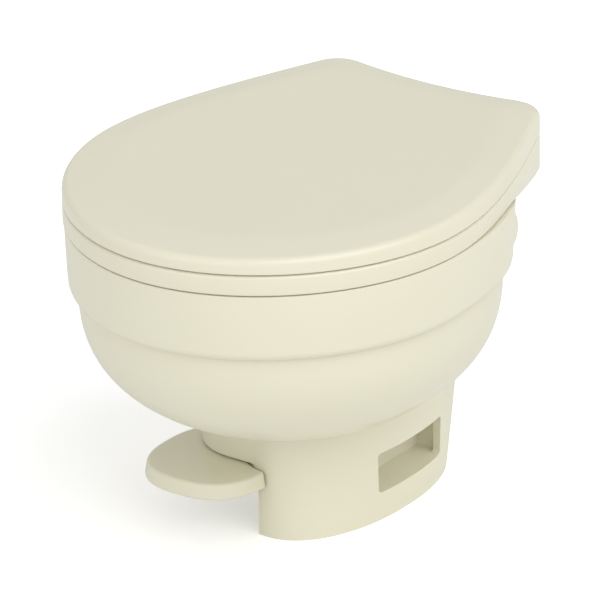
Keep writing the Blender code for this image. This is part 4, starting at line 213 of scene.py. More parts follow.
@dataclass(frozen=True)
class Finish:
    """A moulded, turned or rubbed surface, with grain, tone and gloss that vary over it."""

    slot: Slot
    colour: Triple
    tone_shift: float
    tone_scale: float
    roughness: tuple[float, float]
    grain_scale: float
    grain_depth: float
    metallic: float = 0.0
    specular: float = 0.5
    coat: float = 0.0
    coat_roughness: float = 0.12
    octaves: float = 3.0
    rub_share: float = 1.5
    bump_strength: float = 0.35
    stretch: Triple = (1, 1, 1)
    made: dict[str, bpy.types.Material] = field(default_factory=dict, compare=False, hash=False)

    def shade(self, factor: float) -> Colour:
        """The colour made a little darker or lighter."""
        red, green, blue = (min(channel * factor, 1.0) for channel in self.colour)
        return red, green, blue, 1.0

    def material(self) -> bpy.types.Material:
        """Builds the material once.

        Returns:
            The node material of this finish.
        """
        if self.slot.value in self.made:
            return self.made[self.slot.value]
        sheet = NodeSheet(self.slot.value + "_finish")
        shader = sheet.shader
        shader.inputs["Metallic"].default_value = self.metallic
        shader.inputs["Specular IOR Level"].default_value = self.specular
        shader.inputs["Coat Weight"].default_value = self.coat
        shader.inputs["Coat Roughness"].default_value = self.coat_roughness
        cloud = sheet.noise(self.tone_scale, self.octaves, self.stretch)
        tone = sheet.mix(cloud, 0, self.shade(1 - self.tone_shift), self.shade(1 + self.tone_shift))
        sheet.link(tone, MIX_OUTPUT, shader, "Base Color")
        rub = sheet.noise(self.tone_scale * self.rub_share, 0.0, self.stretch)
        gloss = sheet.range_of(rub, *self.roughness)
        sheet.link(gloss, 0, shader, "Roughness")
        grain = sheet.noise(self.grain_scale, self.octaves, self.stretch)
        bump = sheet.add("ShaderNodeBump", Strength=self.bump_strength, Distance=self.grain_depth)
        sheet.link(grain, 0, bump, "Height")
        sheet.link(bump, "Normal", shader, "Normal")
        self.made[self.slot.value] = sheet.material
        return sheet.material


BONE = Finish(Slot.BONE, (0.758, 0.732, 0.582), 0.012, 7.0, (0.28, 0.35), 420.0, 0.00003, coat=0.12)
VALVE = Finish(Slot.VALVE, (0.035, 0.035, 0.037), 0.12, 20.0, (0.36, 0.5), 900.0, 0.00005)
GEAR = Finish(Slot.GEAR, (0.34, 0.34, 0.33), 0.05, 25.0, (0.38, 0.52), 900.0, 0.00005)
TUBE = Finish(Slot.TUBE, (0.72, 0.72, 0.7), 0.03, 18.0, (0.28, 0.42), 700.0, 0.00004)
RUBBER = Finish(
    Slot.RUBBER, (0.016, 0.016, 0.016), 0.2, 40.0, (0.62, 0.85), 1300.0, 0.0001,
    specular=0.3,
)
STEEL = Finish(
    Slot.STEEL, (0.56, 0.56, 0.55), 0.06, 30.0, (0.22, 0.4), 800.0, 0.00003,
    metallic=1.0, stretch=(1, 6, 6),
)
BRASS = Finish(
    Slot.BRASS, (0.62, 0.42, 0.16), 0.08, 30.0, (0.26, 0.42), 900.0, 0.00003,
    metallic=1.0, stretch=(6, 1, 6),
)
FINISHES = {finish.slot: finish for finish in (BONE, VALVE, GEAR, TUBE, RUBBER, STEEL, BRASS)}


def deselect_all() -> None:
    """Leaves nothing selected."""
    bpy.ops.object.select_all(action="DESELECT")


def take(piece: Piece) -> Piece:
    """Makes a piece the only selected and the active object.

    Args:
        piece: object to take in hand.

    Returns:
        The same piece.
    """
    deselect_all()
    piece.select_set(True)
    bpy.context.view_layer.objects.active = piece
    return piece


def combine(piece: Piece, tool: Piece, way: Cut) -> None:
    """Cuts a tool out of a piece, or joins it on, and removes the tool.

    Args:
        piece: solid that is changed.
        tool: solid that changes it.
        way: whether the tool is cut away or joined on.
    """
    take(piece)
    bpy.ops.object.modifier_add(type="BOOLEAN")
    modifier = piece.modifiers[-1]
    modifier.solver = "EXACT"
    modifier.operation = way.value
    modifier.object = tool
    bpy.ops.object.modifier_apply(modifier=modifier.name)
    bpy.data.objects.remove(tool)


def smooth(piece: Piece) -> Piece:
    """Shades a piece smooth except over sharp edges, and recalculates its normals.

    Args:
        piece: solid to shade.

    Returns:
        The same piece.
    """
    take(piece)
    bpy.ops.object.mode_set(mode="EDIT")
    bpy.ops.mesh.select_all(action="SELECT")
    bpy.ops.mesh.remove_doubles(threshold=MERGE_GAP)
    bpy.ops.mesh.normals_make_consistent(inside=False)
    bpy.ops.object.mode_set(mode="OBJECT")
    bpy.ops.object.shade_smooth_by_angle(angle=SMOOTH_ANGLE)
    return piece


def round_edges(piece: Piece, width: float, segments: int = 3, limit: float = EDGE_ANGLE) -> Piece:
    """Rounds a piece's sharp edges with a Bevel modifier and applies it.

    Args:
        piece: solid to round.
        width: width of the round.
        segments: faces across the round.
        limit: smallest angle of an edge that is rounded.

    Returns:
        The same piece.
    """
    take(piece)
    bpy.ops.object.modifier_add(type="BEVEL")
    modifier = piece.modifiers[-1]
    modifier.width = width
    modifier.segments = segments
    modifier.limit_method = "ANGLE"
    modifier.angle_limit = limit
    bpy.ops.object.modifier_apply(modifier=modifier.name)
    return piece


def settle(piece: Piece, body: Body, finish: Finish, *nodes: str) -> None:
    """Dresses a finished piece and hands it to the frame.

    Args:
        piece: finished piece, in place.
        body: body that it rides on.
        finish: its finish.
        nodes: CAD nodes that it stands for.
    """
    piece.data.materials.clear()
    piece.data.materials.append(finish.material())
    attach(piece, body.value)
    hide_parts(*nodes)
    LOG.info("%s rides on %s, %d faces", piece.name, body.value, len(piece.data.polygons))


def block(name: str, low: Iterable[float], high: Iterable[float]) -> Piece:
    """Adds a block between two corners, with its place in its mesh.

    Args:
        name: the object's name.
        low: lowest corner.
        high: highest corner.

    Returns:
        The block.
    """
    low, high = Vector(low), Vector(high)
    deselect_all()
    bpy.ops.mesh.primitive_cube_add(size=1, location=(low + high) / 2)
    piece = bpy.context.object
    piece.name = name
    piece.scale = high - low
    bpy.ops.object.transform_apply(location=True, rotation=True, scale=True)
    return piece


def barrel(
    name: str, axis: str, centre: Iterable[float], radius: float, length: float, sides: int = BARREL_SIDES
) -> Piece:
    """Adds a round bar along an axis, with its place in its mesh.

    Args:
        name: the object's name.
        axis: X, Y or Z.
        centre: middle of the bar.
        radius: its radius.
        length: its length.
        sides: faces round it.

    Returns:
        The bar.
    """
    turns = {"X": (0, math.pi / 2, 0), "Y": (math.pi / 2, 0, 0), "Z": (0, 0, 0)}
    deselect_all()
    bpy.ops.mesh.primitive_cylinder_add(
        vertices=sides, radius=radius, depth=length, location=tuple(centre), rotation=turns[axis]
    )
    piece = bpy.context.object
    piece.name = name
    bpy.ops.object.transform_apply(location=True, rotation=True, scale=True)
    return piece


class RingShell:
    """A skin that grows from a circle primitive, one extruded ring after another."""

    def __init__(self, name: str, ring: Ring) -> None:
        """Starts the skin at its first ring.

        Args:
            name: the object's name.
            ring: places of the first ring, in order.
        """
        deselect_all()
        bpy.ops.mesh.primitive_circle_add(vertices=len(ring), radius=1, fill_type="NOTHING")
        self.piece = bpy.context.object
        self.piece.name = name
        bpy.ops.object.mode_set(mode="EDIT")
        self.edge = list(range(len(ring)))
        self.first = list(self.edge)
        self.start = ring
        self.place(ring)

    def mesh(self) -> bmesh.types.BMesh:
        """The mesh in edit mode.

        Returns:
            The mesh, with its vertices ready to be looked up.
        """
        mesh = bmesh.from_edit_mesh(self.piece.data)
        mesh.verts.ensure_lookup_table()
        return mesh

    def place(self, ring: Ring) -> None:
        """Moves the open edge to a ring's places.

        Args:
            ring: one place for each vertex of the edge, in order.
        """
        mesh = self.mesh()
        for index, point in zip(self.edge, ring):
            mesh.verts[index].co = point
        bmesh.update_edit_mesh(self.piece.data)

    def grow(self, ring: Ring) -> "RingShell":
        """Extrudes the open edge to the next ring.

        Args:
            ring: places of the new ring, in the first ring's order.

        Returns:
            The shell itself.
        """
        count = len(self.mesh().verts)
        bpy.ops.mesh.extrude_region()
        mesh = self.mesh()
        found = []
        for index in self.edge:
            vertex = mesh.verts[index]
            others = [edge.other_vert(vertex).index for edge in vertex.link_edges]
            found.append(next(other for other in others if other >= count))
        self.edge = found
        self.place(ring)
        return self

    def grow_all(self, rings: Iterable[Ring]) -> "RingShell":
        """Extrudes through several rings.

        Args:
            rings: the rings, each in the first ring's order.

        Returns:
            The shell itself.
        """
        for ring in rings:
            self.grow(ring)
        return self

    def cap(self) -> "RingShell":
        """Fills the open edge with one face."""
        bpy.ops.mesh.edge_face_add()
        return self

    def pick(self, indices: Iterable[int]) -> None:
        """Selects the ring of edges through some vertices, and nothing else.

        Args:
            indices: the vertices' numbers.
        """
        bpy.ops.mesh.select_all(action="DESELECT")
        mesh = self.mesh()
        chosen = set(indices)
        for index in chosen:
            mesh.verts[index].select = True
        for edge in mesh.edges:
            edge.select = all(vertex.index in chosen for vertex in edge.verts)
        bmesh.update_edit_mesh(self.piece.data)

    def cap_start(self) -> "RingShell":
        """Fills the first ring with one face, and goes back to the open edge.

        Returns:
            The shell itself.
        """
        self.pick(self.first)
        bpy.ops.mesh.edge_face_add()
        self.pick(self.edge)
        return self

    def join_ends(self) -> "RingShell":
        """Extrudes the open edge onto the first ring and merges the two.

        Returns:
            The shell itself.
        """
        self.grow(self.start)
        bpy.ops.mesh.select_all(action="SELECT")
        bpy.ops.mesh.remove_doubles(threshold=WELD_GAP)
        return self

    def done(self) -> Piece:
        """Leaves edit mode.

        Returns:
            The finished skin.
        """
        bpy.ops.mesh.select_all(action="SELECT")
        bpy.ops.mesh.normals_make_consistent(inside=False)
        bpy.ops.object.mode_set(mode="OBJECT")
        return self.piece


def solid_of(name: str, rings: list[Ring]) -> Piece:
    """Closed solid with a face over its first and its last ring."""
    return RingShell(name, rings[0]).cap_start().grow_all(rings[1:]).cap().done()


def ring_of(name: str, rings: list[Ring]) -> Piece:
    """Closed ring whose last section joins its first."""
    return RingShell(name, rings[0]).grow_all(rings[1:]).join_ends().done()


def cubic(points: Iterable[tuple[float, float]], steps: int) -> Ring:
    """Points along a cubic curve, its last point left out.

    Args:
        points: the curve's start, its two handles and its end.
        steps: how many points are wanted.

    Returns:
        The points in order.
    """
    first, second, third, fourth = [Vector(point) for point in points]
    result = []
    for index in range(steps):
        t = index / steps
        s = 1 - t
        result.append(first * s**3 + second * 3 * s * s * t + third * 3 * s * t * t + fourth * t**3)
    return result


def arc(centre: tuple[float, float], radius: float, start: float, end: float, steps: int) -> Ring:
    """Points along an arc, both ends included."""
    angles = [start + (end - start) * index / steps for index in range(steps + 1)]
    return [Vector((centre[0] + radius * math.cos(a), centre[1] + radius * math.sin(a))) for a in angles]


def quarter(steps: int) -> list[tuple[float, float]]:
    """Shares (inward, down) of a quarter round, from its side to its top."""
    turns = [math.pi / 2 * index / steps for index in range(steps + 1)]
    return [(1 - math.cos(turn), 1 - math.sin(turn)) for turn in turns]


def mirrored(half: Ring) -> Ring:
    """Closes a half outline that runs from the front middle over +X to the rear middle."""
    return half + [Vector((-point.x, point.y)) for point in reversed(half[1:-1])]


def inset(points: Ring, distance: float) -> Ring:
    """Moves each point of an outline inwards along its normal.

    Args:
        points: outline, with its inside on the left.
        distance: how far the points move.

    Returns:
        The moved outline.
    """
    moved = []
    for index, point in enumerate(points):
        along = (points[(index + 1) % len(points)] - points[index - 1]).normalized()
        moved.append(point + Vector((-along.y, along.x)) * distance)
    return moved


def shrunk(points: Ring, share: float, centre_y: float) -> Ring:
    """Draws an outline in towards a centre on the middle line."""
    centre = Vector((0, centre_y))
    return [centre + (point - centre) * share for point in points]


def raised(points: Ring, height: Height) -> Ring:
    """World points of a flat outline, with the height worked out from each point's Y."""
    return [Vector((point.x, point.y, height(point.y))) for point in points]


def between(inner: Ring, outer: Ring, share: float) -> Ring:
    """Outline at a share of the way from an inner to an outer outline."""
    return [near.lerp(far, share) for near, far in zip(inner, outer)]


def upright(points: Iterable[Vector], x: float) -> Ring:
    """World points of an outline in the YZ plane."""
    return [Vector((x, point[0], point[1])) for point in points]


def rounded_rectangle(low: tuple[float, float], high: tuple[float, float], radius: float) -> Ring:
    """Outline of a rectangle with round corners.

    Args:
        low: its lowest corner.
        high: its highest corner.
        radius: radius of its corners.

    Returns:
        The outline's points.
    """
    corners = (
        (high[0] - radius, high[1] - radius, 0),
        (low[0] + radius, high[1] - radius, math.pi / 2),
        (low[0] + radius, low[1] + radius, math.pi),
        (high[0] - radius, low[1] + radius, -math.pi / 2),
    )
    outline = []
    for x, y, start in corners:
        outline += arc((x, y), radius, start, start + math.pi / 2, CORNER_STEPS)
    return outline


def span(side: int, low: float, high: float) -> tuple[float, float]:
    """A range in X on one side of the middle, lowest value first."""
    near, far = sorted((side * low, side * high))
    return near, far


def squared(share: float, power: float) -> float:
    """A circle's share of its radius along one axis, moved out towards a squarer form."""
    return math.copysign(abs(share) ** (2 / power), share)


@dataclass(frozen=True)
class SeatPlan:
    """Plan of the seat and the lid: round front, tapered sides, small corners, hollow back."""

    front_y: float = -0.237
    rear_y: float = 0.237
    half_width: float = 0.199
    widest_y: float = -0.0254
    front_shares: tuple[float, float] = (0.519, 0.5506)
    side_handle: float = 0.0757
    corner_handle: float = 0.0729
    corner_radius: float = 0.0326
    corner_x: float = 0.0976
    corner_turn: tuple[float, float] = (math.radians(22.45), math.radians(101.1))
    back_bow: float = 0.0089
    steps: tuple[int, int, int, int] = (26, 13, 11, 8)

    def front(self, steps: int) -> Ring:
        """Front of the outline, from the front middle to the widest place.

        Args:
            steps: how many points are wanted.

        Returns:
            The points, the widest place left out.
        """
        first, second = self.front_shares
        points = (
            (0, self.front_y),
            (first * self.half_width, self.front_y),
            (self.half_width, self.widest_y - second * (self.widest_y - self.front_y)),
            (self.half_width, self.widest_y),
        )
        return cubic(points, steps)

    @functools.cache
    def outline(self) -> Ring:
        """The whole outline.

        Returns:
            Points from the front middle over +X and the back.
        """
        front_steps, side_steps, corner_steps, back_steps = self.steps
        start, end = self.corner_turn
        centre = (self.corner_x, self.rear_y - self.corner_radius)
        corner = arc(centre, self.corner_radius, start, end, corner_steps)
        tangent = Vector((-math.sin(start), math.cos(start)))
        side = (
            (self.half_width, self.widest_y),
            (self.half_width, self.widest_y + self.side_handle),
            corner[0] - tangent * self.corner_handle,
            corner[0],
        )
        half = self.front(front_steps) + cubic(side, side_steps) + corner
        reach = corner[-1].x
        middle_y = corner[-1].y - self.back_bow
        for index in range(1, back_steps + 1):
            x = reach * (1 - index / back_steps)
            half.append(Vector((x, middle_y + self.back_bow * (x / reach) ** 2)))
        limit = CAD_BOX[1].y
        return [Vector((point.x, min(point.y, limit))) for point in mirrored(half)]


@dataclass(frozen=True)
class BodyPlan:
    """Plan of the band under the seat and of the bowl and neck below it, as radii about one centre."""

    seat: SeatPlan = SeatPlan()
    centre_y: float = 0.0136
    rear_y: float = 0.1937
    rear_shares: tuple[float, float] = (0.754, 0.628)
    facets: int = 144
    curve_steps: int = 60
    oval_steps: int = 360
    rear_density: tuple[float, float] = (0.25, 0.1)
    oval_power: float = 2.15

    @functools.cache
    def angles(self) -> list[float]:
        """Angles of the facets, closer together at the narrow rear.

        Returns:
            One angle for each facet, from the rear round the left side.
        """
        once, twice = self.rear_density
        result = []
        for index in range(self.facets):
            turn = math.tau * (index + 0.5) / self.facets
            turn -= once * math.sin(turn) + twice * math.sin(2 * turn)
            angle = math.pi / 2 + turn
            result.append(angle if angle < math.pi else angle - math.tau)
        return result

    @functools.cache
    def outline(self) -> Ring:
        """The band's outline, rounder at the rear than the seat.

        Returns:
            Points from the front middle over +X and the back.
        """
        seat = self.seat
        first, second = self.rear_shares
        rear = (
            (seat.half_width, seat.widest_y),
            (seat.half_width, seat.widest_y + first * (self.rear_y - seat.widest_y)),
            (second * seat.half_width, self.rear_y),
            (0, self.rear_y),
        )
        half = seat.front(self.curve_steps) + cubic(rear, self.curve_steps) + [Vector((0, self.rear_y))]
        return mirrored(half)

    def radii(self, points: Ring) -> list[float]:
        """Distance of an outline from the centre at each facet angle.

        Args:
            points: outline that holds the centre.

        Returns:
            One radius for each angle.
        """
        places = [(point.x, point.y - self.centre_y) for point in points]
        table = sorted((math.atan2(y, x), math.hypot(x, y)) for x, y in places)
        first, last = table[0], table[-1]
        table = [(last[0] - math.tau, last[1])] + table + [(first[0] + math.tau, first[1])]
        keys = [angle for angle, _ in table]
        result = []
        for angle in self.angles():
            index = bisect.bisect_right(keys, angle)
            (low, near), (high, far) = table[index - 1], table[index]
            result.append(near + (far - near) * (angle - low) / (high - low))
        return result

    @functools.cache
    def band(self, distance: float) -> list[float]:
        """Radii of the band's outline moved inwards."""
        return self.radii(inset(self.outline(), distance))

    def oval(self, half_width: float, half_length: float, centre_y: float) -> list[float]:
        """Radii of a slightly squared oval with its own centre.

        Args:
            half_width: half its width.
            half_length: half its length.
            centre_y: its centre on the middle line.

        Returns:
            One radius for each angle.
        """
        points = []
        for index in range(self.oval_steps):
            angle = math.tau * index / self.oval_steps
            u, v = (squared(share, self.oval_power) for share in (math.cos(angle), math.sin(angle)))
            points.append(Vector((half_width * u, centre_y + half_length * v)))
        return self.radii(points)

    def ring(self, radii: Iterable[float], heights: Iterable[float] | float) -> Ring:
        """World points of a ring.

        Args:
            radii: one radius for each angle.
            heights: one height for each angle, or one for all.

        Returns:
            The points in order.
        """
        levels = [heights] * self.facets if isinstance(heights, float) else heights
        points = []
        for angle, radius, height in zip(self.angles(), radii, levels):
            x = radius * math.cos(angle)
            points.append(Vector((x, self.centre_y + radius * math.sin(angle), height)))
        return points


SEAT_PLAN = SeatPlan()
BODY_PLAN = BodyPlan()


@dataclass(frozen=True)
class Ramp:
    """The way that the seat's underside and the deck drop towards the hinge."""

    start_y: float = 0.105
    end_y: float = 0.203
    drop: float = 0.015

    def at(self, y: float) -> float:
        """How far the surface has dropped at a place."""
        share = min(max((y - self.start_y) / (self.end_y - self.start_y), 0.0), 1.0)
        return self.drop * share


RAMP = Ramp()


@dataclass(frozen=True)
class Opening:
    """An oval through the seat or the deck."""

    half_width: float
    half_length: float
    centre_y: float = -0.035

    def toward(self, point: Vector, growth: float = 0.0) -> Vector:
        """Point of the oval in the direction of an outline point.

        Args:
            point: outline point.
            growth: distance that the oval is grown by.

        Returns:
            The point on the oval.
        """
        width, length = self.half_width + growth, self.half_length + growth
        angle = math.atan2(point.y - self.centre_y, point.x)
        radius = width * length / math.hypot(length * math.cos(angle), width * math.sin(angle))
        return Vector((radius * math.cos(angle), self.centre_y + radius * math.sin(angle)))

    def ring(self, outline: Ring, growth: float = 0.0) -> Ring:
        """The oval in step with an outline's points."""
        return [self.toward(point, growth) for point in outline]


@dataclass
class Lid:
    """Crowned lid with a soft edge, a hollow underside and its ears."""

    skirt_bottom: float = 0.3473
    front_top: float = 0.3618
    rear_top: float = 0.3698
    edge_round: float = 0.007
    crown: float = 0.0032
    crown_start: float = 0.86
    crown_power: float = 1.0
    wall: float = 0.0035
    centre_y: float = 0.06
    foot: float = 0.0008
    swing_radius: float = 0.0117
    knuckle_radius: float = 0.0052
    ear_start: float = 0.0053
    ear_width: float = 0.0077
    ear_reach: float = 0.002
    notch_half: float = 0.0055
    notch_rise: float = 0.0069
    notch_bottom: float = 0.34
    notch_rear: float = 0.26
    top_shares: tuple[float, ...] = (0.01, 0.3, 0.55, *(0.7 + 0.03 * index for index in range(10)))
    ceiling_shares: tuple[float, ...] = (0.9, 0.8, 0.7, 0.4, 0.01)
    round_steps: tuple[int, int] = (7, 4)

    def top(self, y: float) -> float:
        """Height of the top edge, which rises to the rear."""
        share = (y - SEAT_PLAN.front_y) / (SEAT_PLAN.rear_y - SEAT_PLAN.front_y)
        return self.front_top + (self.rear_top - self.front_top) * share

    def bottom(self, y: float) -> float:
        """Height of the skirt, lifted behind the hinge so that it swings clear of the seat.

        Args:
            y: place along the middle line.

        Returns:
            The skirt's lower edge there.
        """
        behind = y - LID_AXIS[0]
        if behind <= 0:
            return self.skirt_bottom
        swing = math.sqrt(max(self.swing_radius**2 - behind**2, 0.0))
        return max(self.skirt_bottom, LID_AXIS[1] - swing)

    def crowned(self, share: float) -> float:
        """Rise of the top above its edge at a share of the way from the middle."""
        run = max((share - self.crown_start) / (1 - self.crown_start), 0.0)
        return self.crown * (1 - run**self.crown_power)

    def surface(self, share: float, sink: float = 0.0) -> Ring:
        """Ring of the crowned top, or of the ceiling under it.

        Args:
            share: how far out it lies, 0 at the middle and 1 at the soft edge.
            sink: how far below the top it lies.

        Returns:
            The ring's points.
        """
        edge = inset(SEAT_PLAN.outline(), self.edge_round)
        rise = self.crowned(share) - sink
        return raised(shrunk(edge, share, self.centre_y), lambda y: self.top(y) + rise)

    def skin(self) -> Piece:
        """Outer skin, skirt and ceiling in one closed shell.

        Returns:
            The shell without its ears and notches.
        """
        outline = SEAT_PLAN.outline()
        outer_steps, inner_steps = self.round_steps
        shell = RingShell("lid_cover", self.surface(self.top_shares[0]))
        shell.cap_start()
        shell.grow_all(self.surface(share) for share in self.top_shares[1:])
        for inward, down in reversed(quarter(outer_steps)):
            drop = self.edge_round * down
            edge = inset(outline, self.edge_round * inward)
            shell.grow(raised(edge, lambda y, drop=drop: self.top(y) - drop))
        shell.grow(raised(outline, lambda y: self.bottom(y) + self.foot))
        shell.grow(raised(inset(outline, self.foot), self.bottom))
        shell.grow(raised(inset(outline, self.wall), self.bottom))
        for inward, down in quarter(inner_steps):
            drop = self.wall + (self.edge_round - self.wall) * down
            edge = inset(outline, self.wall + (self.edge_round - self.wall) * inward)
            shell.grow(raised(edge, lambda y, drop=drop: self.top(y) - drop))
        shell.grow_all(self.surface(share, self.wall) for share in self.ceiling_shares)
        return shell.cap().done()

    def build(self) -> None:
        """Builds the lid with its ears and the notches past the seat's ears."""
        lid = self.skin()
        axis_y, axis_z = LID_AXIS
        for side in SIDES:
            near, far = span(side, HINGE_X - self.notch_half, HINGE_X + self.notch_half)
            low = (near, axis_y - self.notch_half, self.notch_bottom)
            notch = block("lid_notch", low, (far, self.notch_rear, axis_z + self.notch_rise))
            combine(lid, notch, Cut.AWAY)
            for edge in (-1, 1):
                first = HINGE_X + edge * self.ear_start
                near, far = span(side, first, first + edge * self.ear_width)
                low = (near, axis_y - self.knuckle_radius, axis_z)
                high = (far, axis_y + self.ear_reach, self.top(axis_y) - self.wall / 2)
                root = block("lid_ear", low, high)
                middle = ((near + far) / 2, axis_y, axis_z)
                round_end = barrel("lid_knuckle", "X", middle, self.knuckle_radius, far - near)
                combine(root, round_end, Cut.ONTO)
                combine(lid, root, Cut.ONTO)
        settle(smooth(lid), Body.LID, BONE, "lid")


@dataclass
class Seat:
    """Seat ring with a rolled opening, hinge slots and the ears that carry the lid."""

    top: float = 0.346
    bottom: float = 0.327
    top_round: float = 0.0035
    bottom_round: float = 0.0013
    opening_round: float = 0.006
    opening: Opening = Opening(0.098, 0.123)
    slot_half: float = 0.0075
    slot_y: tuple[float, float] = (0.205, 0.26)
    slot_z: tuple[float, float] = (0.29, 0.3385)
    ear_half: float = 0.005
    ear_radius: float = 0.0052
    round_steps: tuple[int, int, int] = (4, 5, 7)
    under_shares: tuple[float, ...] = (0.12, 0.3, 0.5, 0.7, 0.85)

    def under(self, y: float) -> float:
        """Height of the underside."""
        return self.bottom - RAMP.at(y)

    def rings(self) -> list[Ring]:
        """Chain of rings round the seat's section.

        Returns:
            The rings: outer side, top, opening and underside.
        """
        outline = SEAT_PLAN.outline()
        under_steps, top_steps, opening_steps = self.round_steps
        rings = []
        for inward, down in reversed(quarter(under_steps)):
            edge = inset(outline, self.bottom_round * inward)
            rings.append(raised(edge, lambda y, up=self.bottom_round * down: self.under(y) + up))
        for inward, down in quarter(top_steps):
            edge = inset(outline, self.top_round * inward)
            rings.append(raised(edge, lambda y, drop=self.top_round * down: self.top - drop))
        for inward, down in reversed(quarter(opening_steps)):
            edge = self.opening.ring(outline, self.opening_round * inward)
            rings.append(raised(edge, lambda y, drop=self.opening_round * down: self.top - drop))
        for inward, down in quarter(under_steps):
            edge = self.opening.ring(outline, self.bottom_round * inward)
            rings.append(raised(edge, lambda y, up=self.bottom_round * down: self.bottom + up))
        hole = self.opening.ring(outline, self.bottom_round)
        under = inset(outline, self.bottom_round)
        for share in self.under_shares:
            rings.append(raised(between(hole, under, share), self.under))
        return rings

    def build(self) -> None:
        """Builds the seat with its slots and ears."""
        seat = ring_of("seat_ring", self.rings())
        ear_y, ear_z = LID_AXIS
        for side in SIDES:
            near, far = span(side, HINGE_X - self.slot_half, HINGE_X + self.slot_half)
            low, high = zip((near, far), self.slot_y, self.slot_z)
            combine(seat, block("hinge_slot", low, high), Cut.AWAY)
            near, far = span(side, HINGE_X - self.ear_half, HINGE_X + self.ear_half)
            low = (near, ear_y - self.ear_radius, self.top - self.bottom_round)
            ear = block("seat_ear", low, (far, ear_y + self.ear_radius, ear_z))
            middle = (side * HINGE_X, ear_y, ear_z)
            combine(ear, barrel("seat_knuckle", "X", middle, self.ear_radius, far - near), Cut.ONTO)
            combine(seat, ear, Cut.ONTO)
        settle(smooth(seat), Body.SEAT, BONE, "seat")


@dataclass
class Rim:
    """Rim shell: band, ramped deck, bowl mouth and the shelf that carries the hinge."""

    step: float = 0.259
    deck: float = 0.3255
    lead: float = 0.01
    inset: float = 0.001
    taper: float = 0.0025
    round: float = 0.0094
    wall: float = 0.004
    edge: float = 0.001
    flange_inset: float = 0.026
    flange: float = 0.0035
    rear_limit: float = 0.186
    mouth: Opening = Opening(0.106, 0.131)
    mouth_round: float = 0.003
    lip_wall: float = 0.005
    lip_bottom: float = 0.313
    shelf_top: float = 0.298
    shelf_thick: float = 0.012
    shelf_half: float = 0.086
    shelf_rear: float = 0.224
    shelf_edge: float = 0.0008
    ledge_drop: float = 0.0008
    ledge_step: float = 0.0005
    wall_level: float = 0.28
    deck_shares: tuple[float, ...] = (0.8, 0.55, 0.3, 0.12)
    round_steps: tuple[int, int] = (8, 4)

    def leaned(self, height: float) -> float:
        """Inset of the band's wall at a height."""
        share = (height - self.step) / (self.deck - self.step)
        return self.inset + self.taper * (1 - share)

    def limited(self, ring: Ring, rear_y: float) -> Ring:
        """Ring with no point behind a place."""
        return [Vector((point.x, min(point.y, rear_y), point.z)) for point in ring]

    def decked(self, points: Ring, drop: float) -> Ring:
        """Ring that follows the deck's ramp."""
        return [Vector((p.x, p.y, self.deck - drop - RAMP.at(p.y + self.lead))) for p in points]

    def rings(self) -> list[Ring]:
        """Chain of rings round the rim's section.

        Returns:
            The rings: band, deck, lip, inner wall and flange.
        """
        plan = BODY_PLAN
        ledge = self.shelf_top - self.ledge_drop
        foot_steps, edge_steps = self.round_steps
        rings = []
        for inward, down in reversed(quarter(foot_steps)):
            distance = self.inset + self.taper + self.round * inward
            rings.append(plan.ring(plan.band(distance), self.step + self.round * down))
        for level in (self.wall_level, ledge):
            rings.append(plan.ring(plan.band(self.leaned(level)), level))
        upper = plan.ring(plan.band(self.leaned(ledge)), ledge + self.ledge_step)
        rings.append(self.limited(upper, self.rear_limit))
        for inward, down in quarter(edge_steps):
            flat = plan.ring(plan.band(self.inset + self.edge * inward), 0.0)
            rear = self.rear_limit - self.edge * inward
            rings.append(self.decked(self.limited(flat, rear), self.edge * down))
        flat = rings[-1]
        mouth = self.mouth.ring(flat, self.mouth_round)
        for share in self.deck_shares:
            rings.append(self.decked(between(mouth, [point.xy for point in flat], share), 0))
        for inward, down in reversed(quarter(edge_steps)):
            edge = self.mouth.ring(flat, self.mouth_round * inward)
            rings.append(self.decked(edge, self.mouth_round * down))
        rings.append(raised(self.mouth.ring(flat), lambda y: self.lip_bottom))
        back = self.mouth.ring(flat, self.lip_wall)
        rings.append(raised(back, lambda y: self.lip_bottom))
        rings.append(self.decked(back, self.wall + self.mouth_round))
        inner = plan.ring(plan.band(self.inset + self.wall), 0.0)
        inner = self.limited(inner, self.rear_limit - self.wall)
        rings.append(self.decked(inner, self.wall + self.edge))
        rings.append(raised(inner, lambda y: ledge - self.wall + self.ledge_step))
        deep = self.inset + self.taper + self.wall
        rings.append(plan.ring(plan.band(deep), ledge - self.wall))
        rings.append(plan.ring(plan.band(deep), self.step + self.round))
        flange_top = self.step + self.flange
        rings.append(plan.ring(plan.band(deep + self.wall), flange_top))
        rings.append(plan.ring(plan.band(self.flange_inset), flange_top))
        rings.append(plan.ring(plan.band(self.flange_inset), self.step))
        return rings

    def build(self) -> None:
        """Builds the rim with its hinge shelf."""
        rim = ring_of("rim_band", self.rings())
        low = (-self.shelf_half, self.rear_limit - self.wall / 2)
        outline = rounded_rectangle(low, (self.shelf_half, self.shelf_rear), self.wall)
        heights = (self.shelf_top - self.shelf_thick, self.shelf_top)
        shelf = solid_of("hinge_shelf", [raised(outline, lambda y, z=z: z) for z in heights])
        combine(rim, round_edges(shelf, self.shelf_edge, 2), Cut.ONTO)
        settle(smooth(rim), Body.TOILET, BONE, "rim_shell")


